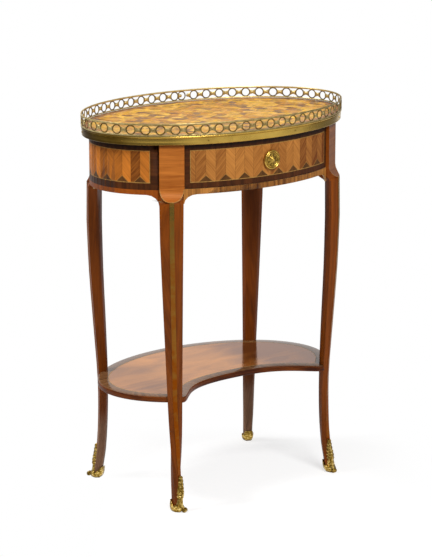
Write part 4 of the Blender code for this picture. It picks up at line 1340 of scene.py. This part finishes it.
class SALON_OT_shelf(bpy.types.Operator):
    """Cut the kidney shelf and lay its banding"""

    bl_idname = "salon.shelf"
    bl_label = "Shelf"

    # Horns: turn of the legs that they meet, the direction in which each leaves its leg, the
    # direction and the length of the pull at its tip, and the inset at which that pull is gone
    leg_turn = math.radians(44.07)
    leave_turn = math.radians(43)
    tip_turn = math.radians(54)
    tip_pull = 0.018
    pull_gone = 0.05
    inside_leg = 0.034

    # Bay: its depth in front of the middle, and the pulls at its side and its middle
    bay = 0.055
    bay_side_pull = 0.050
    bay_middle_pull = 0.1

    oval_steps = 96
    horn_steps = 12
    bay_steps = 26

    rounding = 0.0022
    rounded_from = math.radians(80)

    def outline(self, inwards):
        """Line inside the shelf's edge: an oval hollowed in front, between two rounded horns."""
        oval = Oval(SHELF_HIGH.x - inwards, SHELF_HIGH.y - inwards)
        leg = FRIEZE.point(self.leg_turn)
        horn_turn = math.atan2(leg.y / SHELF_HIGH.y, leg.x / SHELF_HIGH.x) - inwards / SHELF_HIGH.x
        sweep = math.pi + 2 * horn_turn
        points = [oval.point(-horn_turn + sweep * step / self.oval_steps)
                  for step in range(self.oval_steps + 1)]
        horn = points[-1]
        pull = self.tip_pull * (1.0 - inwards / self.pull_gone)
        leave = Vector((math.cos(self.leave_turn), math.sin(self.leave_turn), 0.0))
        inner = Vector((self.inside_leg, 0.0, 0.0)) - leg
        inner += inwards * (leave * 0.5 + beside(leave))
        tip = horn + pull * Vector((math.cos(self.tip_turn), -math.sin(self.tip_turn), 0.0))
        middle = Vector((0.0, inwards - self.bay, 0.0))
        half = bezier(horn, tip, inner - pull * leave, inner, self.horn_steps)
        half += bezier(inner, inner + self.bay_side_pull * leave,
                       middle - Vector((self.bay_middle_pull, 0.0, 0.0)), middle, self.bay_steps)
        return points + half + [Vector((-point.x, point.y, 0.0)) for point in reversed(half[:-1])]

    def loop(self, shape, inwards):
        """Closed line of the shape at the shelf's top, inside its edge."""
        points = [(point.x, point.y, SHELF_HIGH.z) for point in self.outline(inwards)]
        return strung(shape, points, True)

    def execute(self, context):
        sizes = context.scene.salon_veneers
        shape = bmesh.new()
        rim, rim_edges = self.loop(shape, 0.0)
        band_in, band_edges = self.loop(shape, sizes.shelf_border)
        line_in, line_edges = self.loop(shape, sizes.shelf_border + sizes.stringing)
        band = bmesh.ops.bridge_loops(shape, edges=rim_edges + band_edges)["faces"]
        line = bmesh.ops.bridge_loops(shape, edges=band_edges + line_edges)["faces"]
        field = shape.faces.new(line_in)
        made = bmesh.ops.extrude_edge_only(shape, edges=rim_edges)["geom"]
        bmesh.ops.translate(shape, vec=(0, 0, SHELF_LOW.z - SHELF_HIGH.z),
                            verts=only(bmesh.types.BMVert, made))
        foot_edges = [item for item in shape.edges if item.is_boundary]
        bmesh.ops.contextual_create(shape, geom=foot_edges)
        bmesh.ops.recalc_face_normals(shape, faces=shape.faces)
        dress(shape.faces, 3)
        for index, faces in enumerate(((field,), band, line)):
            dress(faces, index)
        layer = shape.loops.layers.uv.new("veneer")
        places = {}
        run = 0.0
        for index, vert in enumerate(rim):
            places[vert] = (run, 0.0)
            places[band_in[index]] = (run, sizes.shelf_border)
            run += (rim[(index + 1) % len(rim)].co - vert.co).length
        for face in band:
            for corner in face.loops:
                corner[layer].uv = places[corner.vert]
        edges = [item for item in shape.edges
                 if len(item.link_faces) == 2 and item.calc_face_angle(0.0) > self.rounded_from]
        bmesh.ops.bevel(shape, geom=edges, offset=self.rounding, offset_type="OFFSET", segments=3,
                        profile=0.5, affect="EDGES", material=-1, clamp_overlap=True)
        skins = (shelf_field(), shelf_banding(), stringing(), shelf_edge())
        piece("kidney_shelf", shape, skins, "tulipwood", ("shelf",), crisp=50.0)
        return {"FINISHED"}


class SALON_OT_inside(bpy.types.Operator):
    """Finish the plain oak pieces inside the frieze and the drawer, and the iron nut"""

    bl_idname = "salon.inside"
    bl_label = "Inside"

    def execute(self, context):
        deep = drawer_oak("oak_front_to_back", 1)
        wide = drawer_oak("oak_side_to_side", 0)
        choice = {"drawer_back": wide, "drawer_bottom": wide, "top_board": wide,
                  "knob_nut": dull_iron()}
        for name in ("runner", "guide", "kicker", "stop", "drawer_side"):
            for side in ("_left", "_right"):
                choice[name + side] = deep
        for node, skin in choice.items():
            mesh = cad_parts[node].data
            mesh.materials.clear()
            mesh.materials.append(skin)
        return {"FINISHED"}


class SALON_OT_stage(bpy.types.Operator):
    """Set up the floor, the lamps, the background and the camera"""

    bl_idname = "salon.stage"
    bl_label = "Stage"

    # Lamps: side of the square and place
    key_lamp = (1.3, (-0.5, -2.5, 2.9))
    side_lamp = (0.9, (-1.5, 0.75, 2.6))
    lamp_target = (0.0, 0.0, 0.4)

    # Floor: where it fades to white at the left, at the right, behind and far out
    floor_radius = 2.0
    floor_drop = 0.0003
    fade_left = (-0.22, -0.06)
    fade_right = (0.26, 0.44)
    fade_behind = (0.16, 0.34)
    fade_squared = (0.3, 1.0)
    floor_glow = (0.66, 0.66, 0.66)
    floor_matt = (0.46, 0.46, 0.46)

    # Studio that the gloss shows: level direction of its window, and light of its walls
    window = (0.42, -0.907)
    walls = 0.24

    lens = 146.1
    sensor = 36.0
    camera_place = (-2.642, -3.346, 1.433)
    camera_turn = (math.radians(76.353), 0.0, math.radians(-38.350))

    def lamp(self, context, name, power, size, place):
        """Soft square lamp aimed at the table."""
        light = bpy.data.lights.new(name, "AREA")
        light.energy = power
        light.size = size
        item = bpy.data.objects.new(name, light)
        item.location = place
        aim = Vector(self.lamp_target) - Vector(place)
        item.rotation_euler = aim.to_track_quat("-Z", "Y").to_euler()
        context.scene.collection.objects.link(item)

    def floor(self, context, tone):
        """White floor that keeps the table's shadow and fades into the white background."""
        shape = bmesh.new()
        bmesh.ops.create_circle(shape, cap_ends=True, segments=96, radius=self.floor_radius,
                                matrix=Matrix.Translation((0.0, 0.0, -self.floor_drop)))
        mesh = bpy.data.meshes.new("floor")
        shape.to_mesh(mesh)
        shape.free()
        paint = Surface("floor_white")
        paint.fill(Base_Color=tone, Roughness=0.9, Specular_IOR_Level=0.0)
        x, y, _ = paint.place()
        across = towards(VIEW_RIGHT, x, y)
        sides = across.spread(*self.fade_left, 1.0, 0.0).most(across.spread(*self.fade_right))
        behind = towards(VIEW_AWAY, x, y).spread(*self.fade_behind)
        far = (x * x + y * y).spread(*self.fade_squared).most(sides).most(behind)
        glow = paint.node("ShaderNodeEmission", None, {
            "Color": paint.blend(far, self.floor_glow, WHITE), "Strength": 1.0})
        matt = paint.node("ShaderNodeBsdfDiffuse", None, {
            "Color": paint.blend(far, self.floor_matt, BLACK)})
        seen = paint.node("ShaderNodeAddShader", None, {0: glow, 1: matt})
        direct = paint.ray("Camera").most(paint.ray("Glossy")).most(paint.ray("Transmission"))
        both = paint.node("ShaderNodeMixShader", None, {
            0: direct, 1: Channel(paint, paint.shader.outputs[0]), 2: seen})
        paint.feed(paint.tree.nodes["Material Output"].inputs["Surface"], both)
        mesh.materials.append(paint.skin)
        item = bpy.data.objects.new("floor", mesh)
        context.scene.collection.objects.link(item)

    def backdrop(self, context, strength):
        """White background with an even light, and a darker studio in front of it for the gloss."""
        world = bpy.data.worlds.new("studio")
        world.use_nodes = True
        context.scene.world = world
        nodes = Nodes(world.node_tree)
        sky = world.node_tree.nodes["Background"]
        nodes.feed(sky.inputs["Color"], WHITE)
        glossy = nodes.ray("Glossy")
        x, y, _ = nodes.split(nodes.node("ShaderNodeTexCoord", None, None, "Generated"))
        behind = towards(VIEW_AWAY, x, y).spread(0.70, 0.94)
        window = towards(self.window, x, y).spread(0.55, 0.95, 0.0, 0.70)
        room = (window + self.walls).most(behind)
        shown = nodes.ray("Camera").most(nodes.ray("Transmission")).most(glossy * room)
        nodes.feed(sky.inputs["Strength"], shown.most(strength * (1.0 - glossy)))

    def execute(self, context):
        studio = context.scene.salon_studio
        context.scene.view_settings.view_transform = "Standard"
        self.floor(context, studio.floor)
        self.backdrop(context, studio.ambient)
        self.lamp(context, "key", studio.key, *self.key_lamp)
        self.lamp(context, "side", studio.side, *self.side_lamp)
        camera = bpy.data.cameras.new("camera")
        camera.lens = self.lens
        camera.sensor_width = self.sensor
        item = bpy.data.objects.new("camera", camera)
        item.location = self.camera_place
        item.rotation_euler = self.camera_turn
        context.scene.collection.objects.link(item)
        context.scene.camera = item
        return {"FINISHED"}


OPERATORS = (SALON_OT_stage, SALON_OT_top, SALON_OT_band, SALON_OT_gallery, SALON_OT_legs,
             SALON_OT_feet, SALON_OT_frieze, SALON_OT_drawer, SALON_OT_knob, SALON_OT_shelf,
             SALON_OT_inside)
SETTINGS = {"salon_mounts": MountSizes, "salon_veneers": VeneerSizes, "salon_finishes": Finishes,
            "salon_studio": Studio}


class SALON_PT_panel(bpy.types.Panel):
    """Sidebar list of the table's settings and pieces"""

    bl_idname = "SALON_PT_panel"
    bl_label = "Salon table"
    bl_space_type = "VIEW_3D"
    bl_region_type = "UI"
    bl_category = "Salon table"

    def draw(self, context):
        for name, group in SETTINGS.items():
            box = self.layout.box()
            box.label(text=group.__doc__)
            for field in group.__annotations__:
                box.prop(getattr(context.scene, name), field)
        for operator in OPERATORS:
            self.layout.operator(operator.bl_idname)


def register():
    """Add the settings, the operators and the panel."""
    for name, group in SETTINGS.items():
        bpy.utils.register_class(group)
        setattr(bpy.types.Scene, name, PointerProperty(type=group))
    for kind in (*OPERATORS, SALON_PT_panel):
        bpy.utils.register_class(kind)


def unregister():
    """Take the panel, the operators and the settings away again."""
    for kind in (SALON_PT_panel, *reversed(OPERATORS)):
        bpy.utils.unregister_class(kind)
    for name, group in reversed(SETTINGS.items()):
        delattr(bpy.types.Scene, name)
        bpy.utils.unregister_class(group)


def main():
    """Dress the table."""
    register()
    bpy.ops.salon.stage()
    bpy.ops.salon.top()
    bpy.ops.salon.band()
    bpy.ops.salon.gallery()
    bpy.ops.salon.legs()
    bpy.ops.salon.feet()
    bpy.ops.salon.frieze()
    bpy.ops.salon.drawer()
    bpy.ops.salon.knob()
    bpy.ops.salon.shelf()
    bpy.ops.salon.inside()


if __name__ == "__main__":
    main()
